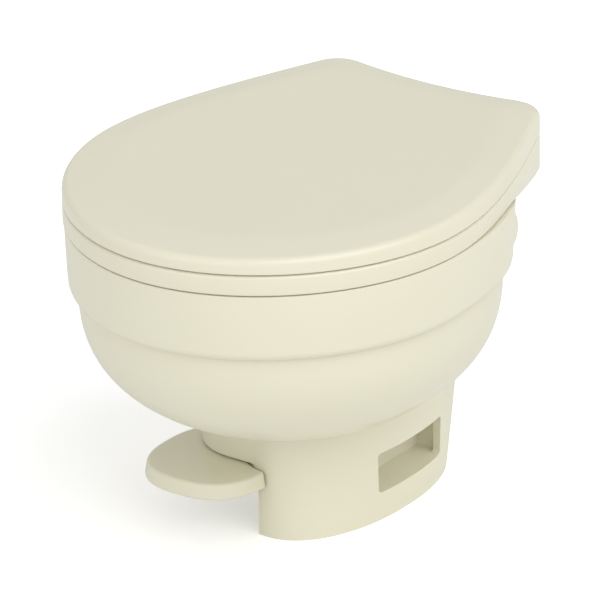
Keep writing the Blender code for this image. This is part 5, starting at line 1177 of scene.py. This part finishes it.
@dataclass(frozen=True)
class DriveCover:
    """Cover that hangs from the bowl over the pedal's drive, at the left of the neck."""

    bottom: float = 0.0675
    front_y: float = -0.0465
    front_radius: float = 0.06
    side_x: float = -0.11
    rear_y: float = 0.025
    rear_radius: float = 0.009
    root_x: float = -0.01
    top: float = 0.142
    edge: float = 0.0012
    corner_steps: tuple[int, int] = (8, 28)
    edge_steps: int = 3

    def plan(self, wall: float) -> Ring:
        """Plan of the cover.

        Args:
            wall: how far the plan is drawn in.

        Returns:
            The plan's points.
        """
        turn = math.pi / 2
        corner = (self.side_x + self.rear_radius, self.rear_y - self.rear_radius)
        middle = (self.side_x + self.front_radius, self.front_y + self.front_radius)
        rear_steps, front_steps = self.corner_steps
        outline = arc(corner, self.rear_radius - wall, turn, 2 * turn, rear_steps)
        outline += arc(middle, self.front_radius - wall, 2 * turn, 3 * turn, front_steps)
        return outline + [Vector((self.root_x, y)) for y in (self.front_y + wall, self.rear_y - wall)]

    def solid(self, wall: float) -> Piece:
        """The cover with a soft lower edge, or the space inside it.

        Args:
            wall: how far the form is drawn in, nothing for the cover itself.

        Returns:
            The closed form.
        """
        rings = []
        for inward, up in reversed(quarter(self.edge_steps)):
            outline = self.plan(wall + self.edge * inward)
            rings.append(raised(outline, lambda y, up=up: self.bottom + wall + self.edge * up))
        rings.append(raised(self.plan(wall), lambda y: self.top))
        return solid_of("drive_cover", rings)


@dataclass(frozen=True)
class ToeCut:
    """Straight cut that sets the foot back under the pedal."""

    front: tuple[float, float] = (-0.010, -0.0535)
    rear: tuple[float, float] = (-0.066, 0.0305)
    top: float = 0.0485
    reach_x: float = -0.2

    def solid(self, wall: float) -> Piece:
        """The cut's block.

        Args:
            wall: how far the block is grown.

        Returns:
            The block.
        """
        front, rear = Vector(self.front), Vector(self.rear)
        along = (rear - front).normalized()
        inward = Vector((along.y, -along.x)) * wall
        front = front + inward - along * OVERRUN
        rear = rear + inward + along * OVERRUN
        outline = [front, rear, Vector((self.reach_x, rear.y)), Vector((self.reach_x, front.y))]
        levels = (-OVERRUN - wall, self.top + wall)
        return solid_of("toe_cut", [raised(outline, lambda y, z=z: z) for z in levels])


@dataclass
class Base:
    """Lower bowl, neck and foot in one moulding, with a pocket in each side."""

    step: float = 0.259
    top_inset: float = 0.0125
    drop_power: float = 2.6
    root_power: float = 1.3
    spacing_power: float = 1.6
    blend_top: float = 0.213
    neck_height: float = 0.113
    neck: Triple = (0.07, 0.139, 0.092)
    foot: Triple = (0.0705, 0.1305, 0.0765)
    foot_shares: tuple[float, float] = (0.0, 0.5)
    blend_power: int = 2
    section_steps: tuple[int, int] = (40, 9)
    wall: float = 0.004
    flange_inset: float = 0.026
    flange_thick: float = 0.006
    pocket_y: Triple = (0.035, 0.142, 0.15)
    pocket_z: tuple[float, float] = (0.028, 0.0685)
    pocket_inner: float = 0.033
    pocket_outer: float = 0.2
    pocket_wall: float = 0.0027
    lintel_x: float = 0.056
    pocket_corner: float = 0.004
    slot_place: tuple[float, float] = (0.046, 0.05)
    slot_half: tuple[float, float] = (0.004, 0.009)
    slot_z: tuple[float, float] = (0.022, 0.031)
    lever_slot: tuple[float, float, float, float] = (-0.038, -0.022, 0.034, 0.0637)
    lever_slot_x: float = -0.012
    inlet_z: float = 0.078
    inlet_boss: Triple = (0.214, 0.014, 0.028)
    inlet_hole: Triple = (0.22, 0.0083, 0.04)
    boss_sides: int = 64
    cover: DriveCover = DriveCover()
    toe: ToeCut = ToeCut()

    def swell(self, height: float) -> float:
        """How far the lower bowl has swelled from the neck to the band at a height."""
        drop = (self.step - height) / (self.step - self.neck_height)
        return (1 - max(drop, 0.0) ** self.drop_power) ** (1 / self.root_power)

    @functools.cached_property
    def ends(self) -> tuple[list[float], list[float], list[float]]:
        """Radii of the bowl's top, of the neck and of the foot."""
        return BODY_PLAN.band(self.top_inset), BODY_PLAN.oval(*self.neck), BODY_PLAN.oval(*self.foot)

    def mixed(self, height: float) -> list[float]:
        """Radii between the neck and the bowl; where the neck stands out further, it draws in higher up.

        Args:
            height: height of the section.

        Returns:
            One radius for each angle.
        """
        bowl, neck, _ = self.ends
        swell = self.swell(height)
        late = (height - self.neck_height) / (self.blend_top - self.neck_height)
        late = min(max(late, 0.0), 1.0) ** self.blend_power
        return [n + (b - n) * (swell if b > n else late) for n, b in zip(neck, bowl)]

    def column(self, height: float) -> list[float]:
        """Radii of the column between the foot and the neck.

        Args:
            height: height of the section.

        Returns:
            One radius for each angle.
        """
        _, neck, foot = self.ends
        share = height / self.neck_height
        return [f + (n - f) * share for f, n in zip(foot, neck)]

    def sections(self, top: float, steps: int) -> list[tuple[list[float], float]]:
        """Radii and height of the outer sections, from the floor upwards.

        Args:
            top: height of the last section.
            steps: sections between the neck and the top, closest together at the neck.

        Returns:
            Radii with their height.
        """
        heights = [self.neck_height * share for share in self.foot_shares]
        result = [(self.column(height), height) for height in heights]
        for index in range(steps + 1):
            height = self.neck_height + (top - self.neck_height) * (index / steps) ** self.spacing_power
            result.append((self.mixed(height), height))
        return result

    def cavity(self, top: float) -> Piece:
        """The space inside the base, less the walls of its two pockets and of the toe cut.

        Args:
            top: height of the base's upper edge.

        Returns:
            The closed space.
        """
        plan = BODY_PLAN
        sections = self.sections(top, self.section_steps[1])
        rings = []
        for index, (radii, height) in enumerate(sections):
            below = sections[max(index - 1, 0)]
            above = sections[min(index + 1, len(sections) - 1)]
            rise = above[1] - below[1]
            inner, levels = [], []
            for low, high, radius in zip(below[0], above[0], radii):
                length = math.hypot(high - low, rise)
                inner.append(radius - self.wall * rise / length)
                levels.append(height + self.wall * (high - low) / length)
            if max(levels) < top - 2 * self.flange_thick:
                rings.append(plan.ring(inner, [-OVERRUN] * plan.facets if index == 0 else levels))
        flange = plan.band(self.flange_inset)
        rings.append(plan.ring(flange, top - self.flange_thick))
        rings.append(plan.ring(flange, top + OVERRUN))
        cavity = solid_of("base_cavity", rings)
        combine(cavity, self.cover.solid(self.wall), Cut.ONTO)
        combine(cavity, self.toe.solid(self.wall), Cut.AWAY)
        for side in SIDES:
            near, far = span(side, self.pocket_inner - self.pocket_wall, self.pocket_outer)
            low = (near, self.pocket_y[0] - self.pocket_wall, self.pocket_z[0] - self.pocket_wall)
            high = (far, self.pocket_y[2] + self.pocket_wall, self.pocket_z[1] + self.pocket_wall)
            combine(cavity, block("pocket_walls", low, high), Cut.AWAY)
        return cavity

    def build(self) -> None:
        """Builds the base with its drive cover, toe cut, pockets, bolt slots and lever slot."""
        top = self.step - FIT
        sections = self.sections(top, self.section_steps[0])
        base = solid_of("base_body", [BODY_PLAN.ring(radii, height) for radii, height in sections])
        y, radius, length = self.inlet_boss
        boss = barrel("inlet_boss", "Y", (0, y, self.inlet_z), radius, length, self.boss_sides)
        combine(base, boss, Cut.ONTO)
        combine(base, self.cover.solid(0), Cut.ONTO)
        y_low, y_high, z_low, z_high = self.lever_slot
        slot = block("lever_slot", (-self.neck[0], y_low, z_low), (self.lever_slot_x, y_high, z_high))
        combine(base, slot, Cut.AWAY)
        combine(base, self.toe.solid(0), Cut.AWAY)
        front, window_rear, rear = self.pocket_y
        low, high = self.pocket_z
        window = rounded_rectangle((front, low), (window_rear, high), self.pocket_corner)
        hollow = rounded_rectangle((front, low), (rear, high), self.pocket_corner)
        for side in SIDES:
            levels = (
                (self.pocket_inner, hollow),
                (self.lintel_x - self.pocket_corner, hollow),
                (self.lintel_x, window),
                (self.pocket_outer, window),
            )
            pocket = solid_of("pocket", [upright(outline, side * x) for x, outline in levels])
            combine(base, smooth(pocket), Cut.AWAY)
            x, y = side * self.slot_place[0], self.slot_place[1]
            half_x, half_y = self.slot_half
            outline = rounded_rectangle((x - half_x, y - half_y), (x + half_x, y + half_y), half_x - FIT)
            slot = solid_of("bolt_slot", [raised(outline, lambda y, z=z: z) for z in self.slot_z])
            combine(base, slot, Cut.AWAY)
        y, radius, length = self.inlet_hole
        combine(base, barrel("inlet_hole", "Y", (0, y, self.inlet_z), radius, length), Cut.AWAY)
        combine(base, self.cavity(top), Cut.AWAY)
        settle(smooth(base), Body.TOILET, BONE, "base_shell")


@dataclass
class Basin:
    """Basin from the rim's mouth down to the flush valve."""

    top: float = 0.3127
    floor: float = 0.1545
    wall: float = 0.0035
    outlet: float = 0.027
    mouth: tuple[float, float] = (0.107, 0.132)
    mouth_y: float = -0.035
    outlet_y: float = 0.083
    steps: int = 112
    levels: int = 22
    rinse: Triple = (0.036, 0.088, 0.267)
    rinse_radius: float = 0.0058
    rinse_length: float = 0.04

    def section(self, turn: float, growth: float, sink: float) -> Ring:
        """One ring of the basin.

        Args:
            turn: nought at the top and a quarter turn at the outlet.
            growth: how far the ring is moved out.
            sink: how far it is moved down.

        Returns:
            The ring's points.
        """
        share = math.cos(turn)
        width = self.outlet + (self.mouth[0] - self.outlet) * share + growth * share
        length = self.outlet + (self.mouth[1] - self.outlet) * share + growth * share
        centre_y = self.outlet_y + (self.mouth_y - self.outlet_y) * share
        height = self.floor + (self.top - self.floor) * (1 - math.sin(turn)) - sink * math.sin(turn)
        points = []
        for index in range(self.steps):
            angle = math.tau * index / self.steps
            points.append(Vector((width * math.cos(angle), centre_y + length * math.sin(angle), height)))
        return points

    def build(self) -> None:
        """Builds the basin with the hole for the rinse nozzle."""
        turns = [math.pi / 2 * index / self.levels for index in range(self.levels + 1)]
        rings = [self.section(turn, 0, 0) for turn in turns]
        rings += [self.section(turn, self.wall, self.wall) for turn in reversed(turns[::2])]
        basin = ring_of("basin", rings)
        hole = barrel("nozzle_hole", "Y", self.rinse, self.rinse_radius, self.rinse_length)
        combine(basin, hole, Cut.AWAY)
        settle(smooth(basin), Body.TOILET, BONE, "bowl_liner")


@dataclass
class RearCover:
    """Rounded cover behind the band, over the vacuum breaker."""

    half_width: float = 0.116
    corner_y: float = 0.214
    crown: float = 0.010
    plan_radius: float = 0.022
    bottom: float = 0.226
    top: float = 0.282
    wall: float = 0.003
    front_y: float = 0.13
    screw_x: float = 0.066
    screw_z: float = 0.268
    recess_radius: float = 0.0041
    recess_length: float = 0.02
    recess_share: float = 0.35
    plan_steps: tuple[int, int] = (12, 14)
    lump_levels: tuple[int, int] = (18, 8)

    def plan(self, distance: float) -> Ring:
        """Plan of the cover: a slightly crowned back with round corners.

        Args:
            distance: how far the plan is drawn in.

        Returns:
            The plan's points, from the front right over the back.
        """
        radius = self.plan_radius - distance
        centre = (self.half_width - self.plan_radius, self.corner_y - self.plan_radius)
        lean = 2 * self.crown / centre[0]
        right = [Vector((self.half_width - distance, self.front_y))]
        corner_steps, steps = self.plan_steps
        right += arc(centre, radius, 0, math.pi / 2 - math.atan(lean), corner_steps)
        start_y, reach = right[-1].y, right[-1].x
        for index in range(1, steps + 1):
            x = reach * (1 - index / steps)
            right.append(Vector((x, start_y + self.crown * (1 - (x / reach) ** 2))))
        return right + [Vector((-point.x, point.y)) for point in reversed(right[:-1])]

    def lump(self, shrink: float, levels: int) -> Piece:
        """Closed lump of the cover, or of the space inside it.

        Args:
            shrink: how far it is drawn in on all sides.
            levels: sections from its lower to its upper edge.

        Returns:
            The lump.
        """
        middle = (self.top + self.bottom) / 2
        half = (self.top - self.bottom) / 2 - shrink
        widest = self.plan_radius - self.wall - FIT
        rings = []
        for index in range(levels + 1):
            angle = -math.pi / 2 + math.pi * index / levels
            distance = shrink + (widest - shrink) * (1 - math.cos(angle))
            height = middle + half * math.sin(angle)
            rings.append([Vector((point.x, point.y, height)) for point in self.plan(distance)])
        return solid_of("rear_cover", rings)

    def envelope(self, base: Base, rim: Rim) -> Piece:
        """The body's outer form with a small clearance, which the cover fits against.

        Args:
            base: the base that the cover leans on.
            rim: the rim above it.

        Returns:
            The closed form.
        """
        rings = []
        gap = 2 * FIT
        for radii, height in base.sections(base.step - FIT, base.section_steps[0]):
            if height > base.neck_height:
                rings.append(BODY_PLAN.ring([radius + gap for radius in radii], height))
        for inward, down in reversed(quarter(rim.round_steps[0])):
            distance = rim.inset + rim.taper + rim.round * inward
            radii = [radius + gap for radius in BODY_PLAN.band(distance)]
            rings.append(BODY_PLAN.ring(radii, rim.step + rim.round * down))
        radii = [radius + gap for radius in BODY_PLAN.band(rim.leaned(rim.shelf_top))]
        rings.append(BODY_PLAN.ring(radii, rim.shelf_top))
        return solid_of("envelope", rings)

    def build(self, base: Base, rim: Rim) -> None:
        """Builds the cover with its two screw holes.

        Args:
            base: the base that the cover leans on.
            rim: the rim above it.
        """
        outer_levels, inner_levels = self.lump_levels
        cover = self.lump(0, outer_levels)
        combine(cover, self.lump(self.wall, inner_levels), Cut.AWAY)
        combine(cover, self.envelope(base, rim), Cut.AWAY)
        rear = self.corner_y + self.crown * self.recess_share
        for side in SIDES:
            middle = (side * self.screw_x, rear, self.screw_z)
            recess = barrel("screw_recess", "Y", middle, self.recess_radius, self.recess_length)
            combine(cover, recess, Cut.AWAY)
        settle(smooth(cover), Body.TOILET, BONE, "rear_housing")


@dataclass
class Pedal:
    """Half-moon pedal round the left of the neck."""

    centre: tuple[float, float] = (-0.064, -0.045)
    half: tuple[float, float] = (0.062, 0.067)
    power: float = 2.5
    top: float = 0.066
    bottom: float = 0.05
    edge: float = 0.0032
    slope: float = 0.0015
    wall: float = 0.003
    roof: float = 0.004
    neck_gap: float = 0.0035
    top_inset: float = 0.004
    neck_edge: float = 0.0011
    neck_angle: float = math.radians(50)
    steps: int = 120
    side_steps: tuple[int, int] = (5, 6)
    notch: tuple[float, float, float, float] = (-0.066, 0.064, -0.038, -0.022)

    def outline(self, distance: float) -> Ring:
        """Plan of the pedal before the neck is cut out of it.

        Args:
            distance: how far the plan is drawn in.

        Returns:
            The plan's points.
        """
        points = []
        for index in range(self.steps):
            angle = math.tau * (index + 0.5) / self.steps
            x = squared(math.cos(angle), self.power) * (self.half[0] - distance)
            y = squared(math.sin(angle), self.power) * (self.half[1] - distance)
            points.append(Vector((self.centre[0] + x, self.centre[1] + y)))
        return points

    def neck(self, base: Base, gap: float, bottom: float, top: float) -> Piece:
        """Upright block of the column's section at the pedal's top, grown by a gap."""
        radii = [radius + gap for radius in base.column(self.top)]
        return solid_of("neck_space", [BODY_PLAN.ring(radii, level) for level in (bottom, top)])

    def levels(self) -> list[tuple[float, float]]:
        """Insets and heights of the pedal's side.

        Returns:
            Pairs of them, from its foot over its soft top edge.
        """
        foot_steps, top_steps = self.side_steps
        result = []
        for inward, down in reversed(quarter(foot_steps)):
            result.append((self.slope * inward, self.bottom + self.edge * down))
        for inward, down in quarter(top_steps):
            result.append((self.slope + self.edge * inward, self.top - self.edge * down))
        result.append((self.slope + self.edge + self.top_inset, self.top))
        return result

    def build(self, base: Base) -> None:
        """Builds the pedal, cut to the neck and hollow underneath.

        Args:
            base: the base whose neck the pedal clears.
        """
        rings = [raised(self.outline(inset_by), lambda y, z=z: z) for inset_by, z in self.levels()]
        pedal = solid_of("foot_pedal_cap", rings)
        low = self.bottom - OVERRUN
        combine(pedal, self.neck(base, self.neck_gap, low, self.top + OVERRUN), Cut.AWAY)
        round_edges(pedal, self.neck_edge, 3, self.neck_angle)
        ceiling = self.top - self.roof
        outline = self.outline(self.slope + self.wall)
        inside = solid_of("pedal_inside", [raised(outline, lambda y, z=z: z) for z in (low, ceiling)])
        thick = self.neck(base, self.neck_gap + self.wall, low - OVERRUN, self.top + 2 * OVERRUN)
        combine(inside, thick, Cut.AWAY)
        combine(pedal, inside, Cut.AWAY)
        x_low, x_high, y_low, y_high = self.notch
        combine(pedal, block("lever_notch", (x_low, y_low, low), (x_high, y_high, ceiling)), Cut.AWAY)
        settle(smooth(pedal), Body.PEDAL, BONE, "foot_pedal")


@dataclass
class HingePosts:
    """Two posts on the rim's shelf that carry the seat's pins."""

    half_width: float = 0.007
    knuckle: float = 0.0085
    stem_half: float = 0.006
    foot: tuple[float, float] = (0.192, 0.2237)
    foot_z: tuple[float, float] = (0.2983, 0.3033)
    edge: float = 0.0008
    bore_radius: float = 0.0043
    bore_length: float = 0.03
    sides: int = 48

    def build(self) -> None:
        """Builds both posts with soft edges."""
        y, z = SEAT_AXIS
        for side, word in SIDES.items():
            near, far = span(side, HINGE_X - self.half_width, HINGE_X + self.half_width)
            low, high = (near, y - self.stem_half, self.foot_z[0]), (far, y + self.stem_half, z)
            post = block(f"hinge_stand_{word}", low, high)
            low, high = (near, self.foot[0], self.foot_z[0]), (far, self.foot[1], self.foot_z[1])
            foot = block("post_foot", low, high)
            combine(post, foot, Cut.ONTO)
            middle = (side * HINGE_X, y, z)
            knuckle = barrel("post_knuckle", "X", middle, self.knuckle, far - near, self.sides)
            combine(post, knuckle, Cut.ONTO)
            round_edges(post, self.edge)
            bore = barrel("post_bore", "X", middle, self.bore_radius, self.bore_length, self.sides)
            combine(post, bore, Cut.AWAY)
            settle(smooth(post), Body.TOILET, BONE, f"hinge_post_{word}")


@dataclass
class FrameWorks:
    """Every CAD node that stays in sight, dressed in its slot's finish."""

    def build(self) -> None:
        """Gives each remaining node its finish."""
        slots = {part["node"]: part["material_slot"] for part in frame["record"]["subparts"]}
        for name, node in sorted(frame["nodes"].items()):
            if node.hide_render:
                continue
            finish = FINISHES[Slot(slots[name])]
            node.data.materials.clear()
            node.data.materials.append(finish.material())
            LOG.info("%s keeps its CAD shape in %s", name, slots[name])


@dataclass
class Studio:
    """White floor, soft lamps and the camera at the photograph's angle."""

    camera_place: Triple = (3.18653, -4.41494, 2.5976)
    target: Triple = (0.0, 0.0719, 0.2)
    roll: float = math.radians(-0.611)
    lens: float = 380.35
    off_axis: tuple[float, float] = (-0.006605, -0.000218)
    sensor: float = 36.0
    clip_end: float = 100.0
    world_strength: float = 0.62
    floor_size: float = 60.0
    floor_tone: Colour = (0.9, 0.9, 0.88, 1.0)
    floor_glow: float = 0.28
    lamps: tuple[tuple[float, float, float, float], ...] = ((75, 44, 1.4, 60), (-5, 15, 0.55, 60))
    lamp_distance: float = 3.0

    def camera(self) -> None:
        """Adds the camera, turned a little off its target so that it needs no shift."""
        place = Vector(self.camera_place)
        back = (place - Vector(self.target)).normalized()
        level = back.to_track_quat("Z", "Y").to_matrix()
        right = level.col[0] * math.cos(self.roll) + level.col[1] * math.sin(self.roll)
        up = back.cross(right)
        aim = (-back + right * self.off_axis[0] + up * self.off_axis[1]).normalized()
        right = (right - aim * right.dot(aim)).normalized()
        up = right.cross(aim)
        deselect_all()
        bpy.ops.object.camera_add(location=place)
        camera = bpy.context.object
        camera.rotation_mode = "QUATERNION"
        camera.rotation_quaternion = Matrix((right, up, -aim)).transposed().to_quaternion()
        camera.data.lens = self.lens
        camera.data.sensor_width = self.sensor
        camera.data.clip_end = self.clip_end
        bpy.context.scene.camera = camera

    def lamp(self, azimuth: float, elevation: float, energy: float, softness: float) -> None:
        """Adds a soft sun.

        Args:
            azimuth: where it stands, in degrees, as the camera's azimuth.
            elevation: its height in degrees.
            energy: its strength.
            softness: its angle in degrees.
        """
        a, e = math.radians(azimuth), math.radians(elevation)
        back = Vector((math.sin(a) * math.cos(e), -math.cos(a) * math.cos(e), math.sin(e)))
        bpy.ops.object.light_add(type="SUN", location=back * self.lamp_distance)
        sun = bpy.context.object
        sun.rotation_mode = "QUATERNION"
        sun.rotation_quaternion = back.to_track_quat("Z", "Y")
        sun.data.energy = energy
        sun.data.angle = math.radians(softness)

    def world(self) -> None:
        """A plain grey world for light, and white where the camera looks past the floor."""
        world = bpy.data.worlds.new("studio_world")
        bpy.context.scene.world = world
        world.use_nodes = True
        tree = world.node_tree
        tree.nodes.clear()
        path = tree.nodes.new("ShaderNodeLightPath")
        mix = tree.nodes.new("ShaderNodeMixShader")
        output = tree.nodes.new("ShaderNodeOutputWorld")
        tree.links.new(path.outputs["Is Camera Ray"], mix.inputs[0])
        for index, strength in enumerate((self.world_strength, 1.0)):
            light = tree.nodes.new("ShaderNodeBackground")
            light.inputs["Color"].default_value = WHITE
            light.inputs["Strength"].default_value = strength
            tree.links.new(light.outputs[0], mix.inputs[index + 1])
        tree.links.new(mix.outputs[0], output.inputs["Surface"])

    def floor(self) -> None:
        """A wide white floor that takes the object's shadow."""
        deselect_all()
        bpy.ops.mesh.primitive_plane_add(size=self.floor_size)
        floor = bpy.context.object
        floor.name = "studio_floor"
        sheet = NodeSheet("studio_white")
        sheet.shader.inputs["Roughness"].default_value = 1.0
        sheet.shader.inputs["Specular IOR Level"].default_value = 0.0
        path = sheet.add("ShaderNodeLightPath")
        tone = sheet.mix(path, "Is Camera Ray", self.floor_tone, WHITE)
        sheet.link(tone, MIX_OUTPUT, sheet.shader, "Base Color")
        glow = sheet.add("ShaderNodeMath")
        glow.operation = "MULTIPLY"
        glow.inputs[1].default_value = self.floor_glow
        sheet.link(path, "Is Camera Ray", glow, 0)
        sheet.shader.inputs["Emission Color"].default_value = WHITE
        sheet.link(glow, 0, sheet.shader, "Emission Strength")
        floor.data.materials.append(sheet.material)

    def build(self) -> None:
        """Sets the stage."""
        bpy.context.scene.view_settings.view_transform = "Standard"
        self.camera()
        self.world()
        self.floor()
        for lamp in self.lamps:
            self.lamp(*lamp)


def main() -> None:
    """Builds the stage, the dressed pieces and the remaining nodes."""
    logging.basicConfig(level=logging.INFO, format="%(message)s")
    base, rim = Base(), Rim()
    Studio().build()
    base.build()
    rim.build()
    Basin().build()
    RearCover().build(base, rim)
    HingePosts().build()
    Seat().build()
    Lid().build()
    Pedal().build(base)
    FrameWorks().build()


if __name__ == "__main__":
    main()
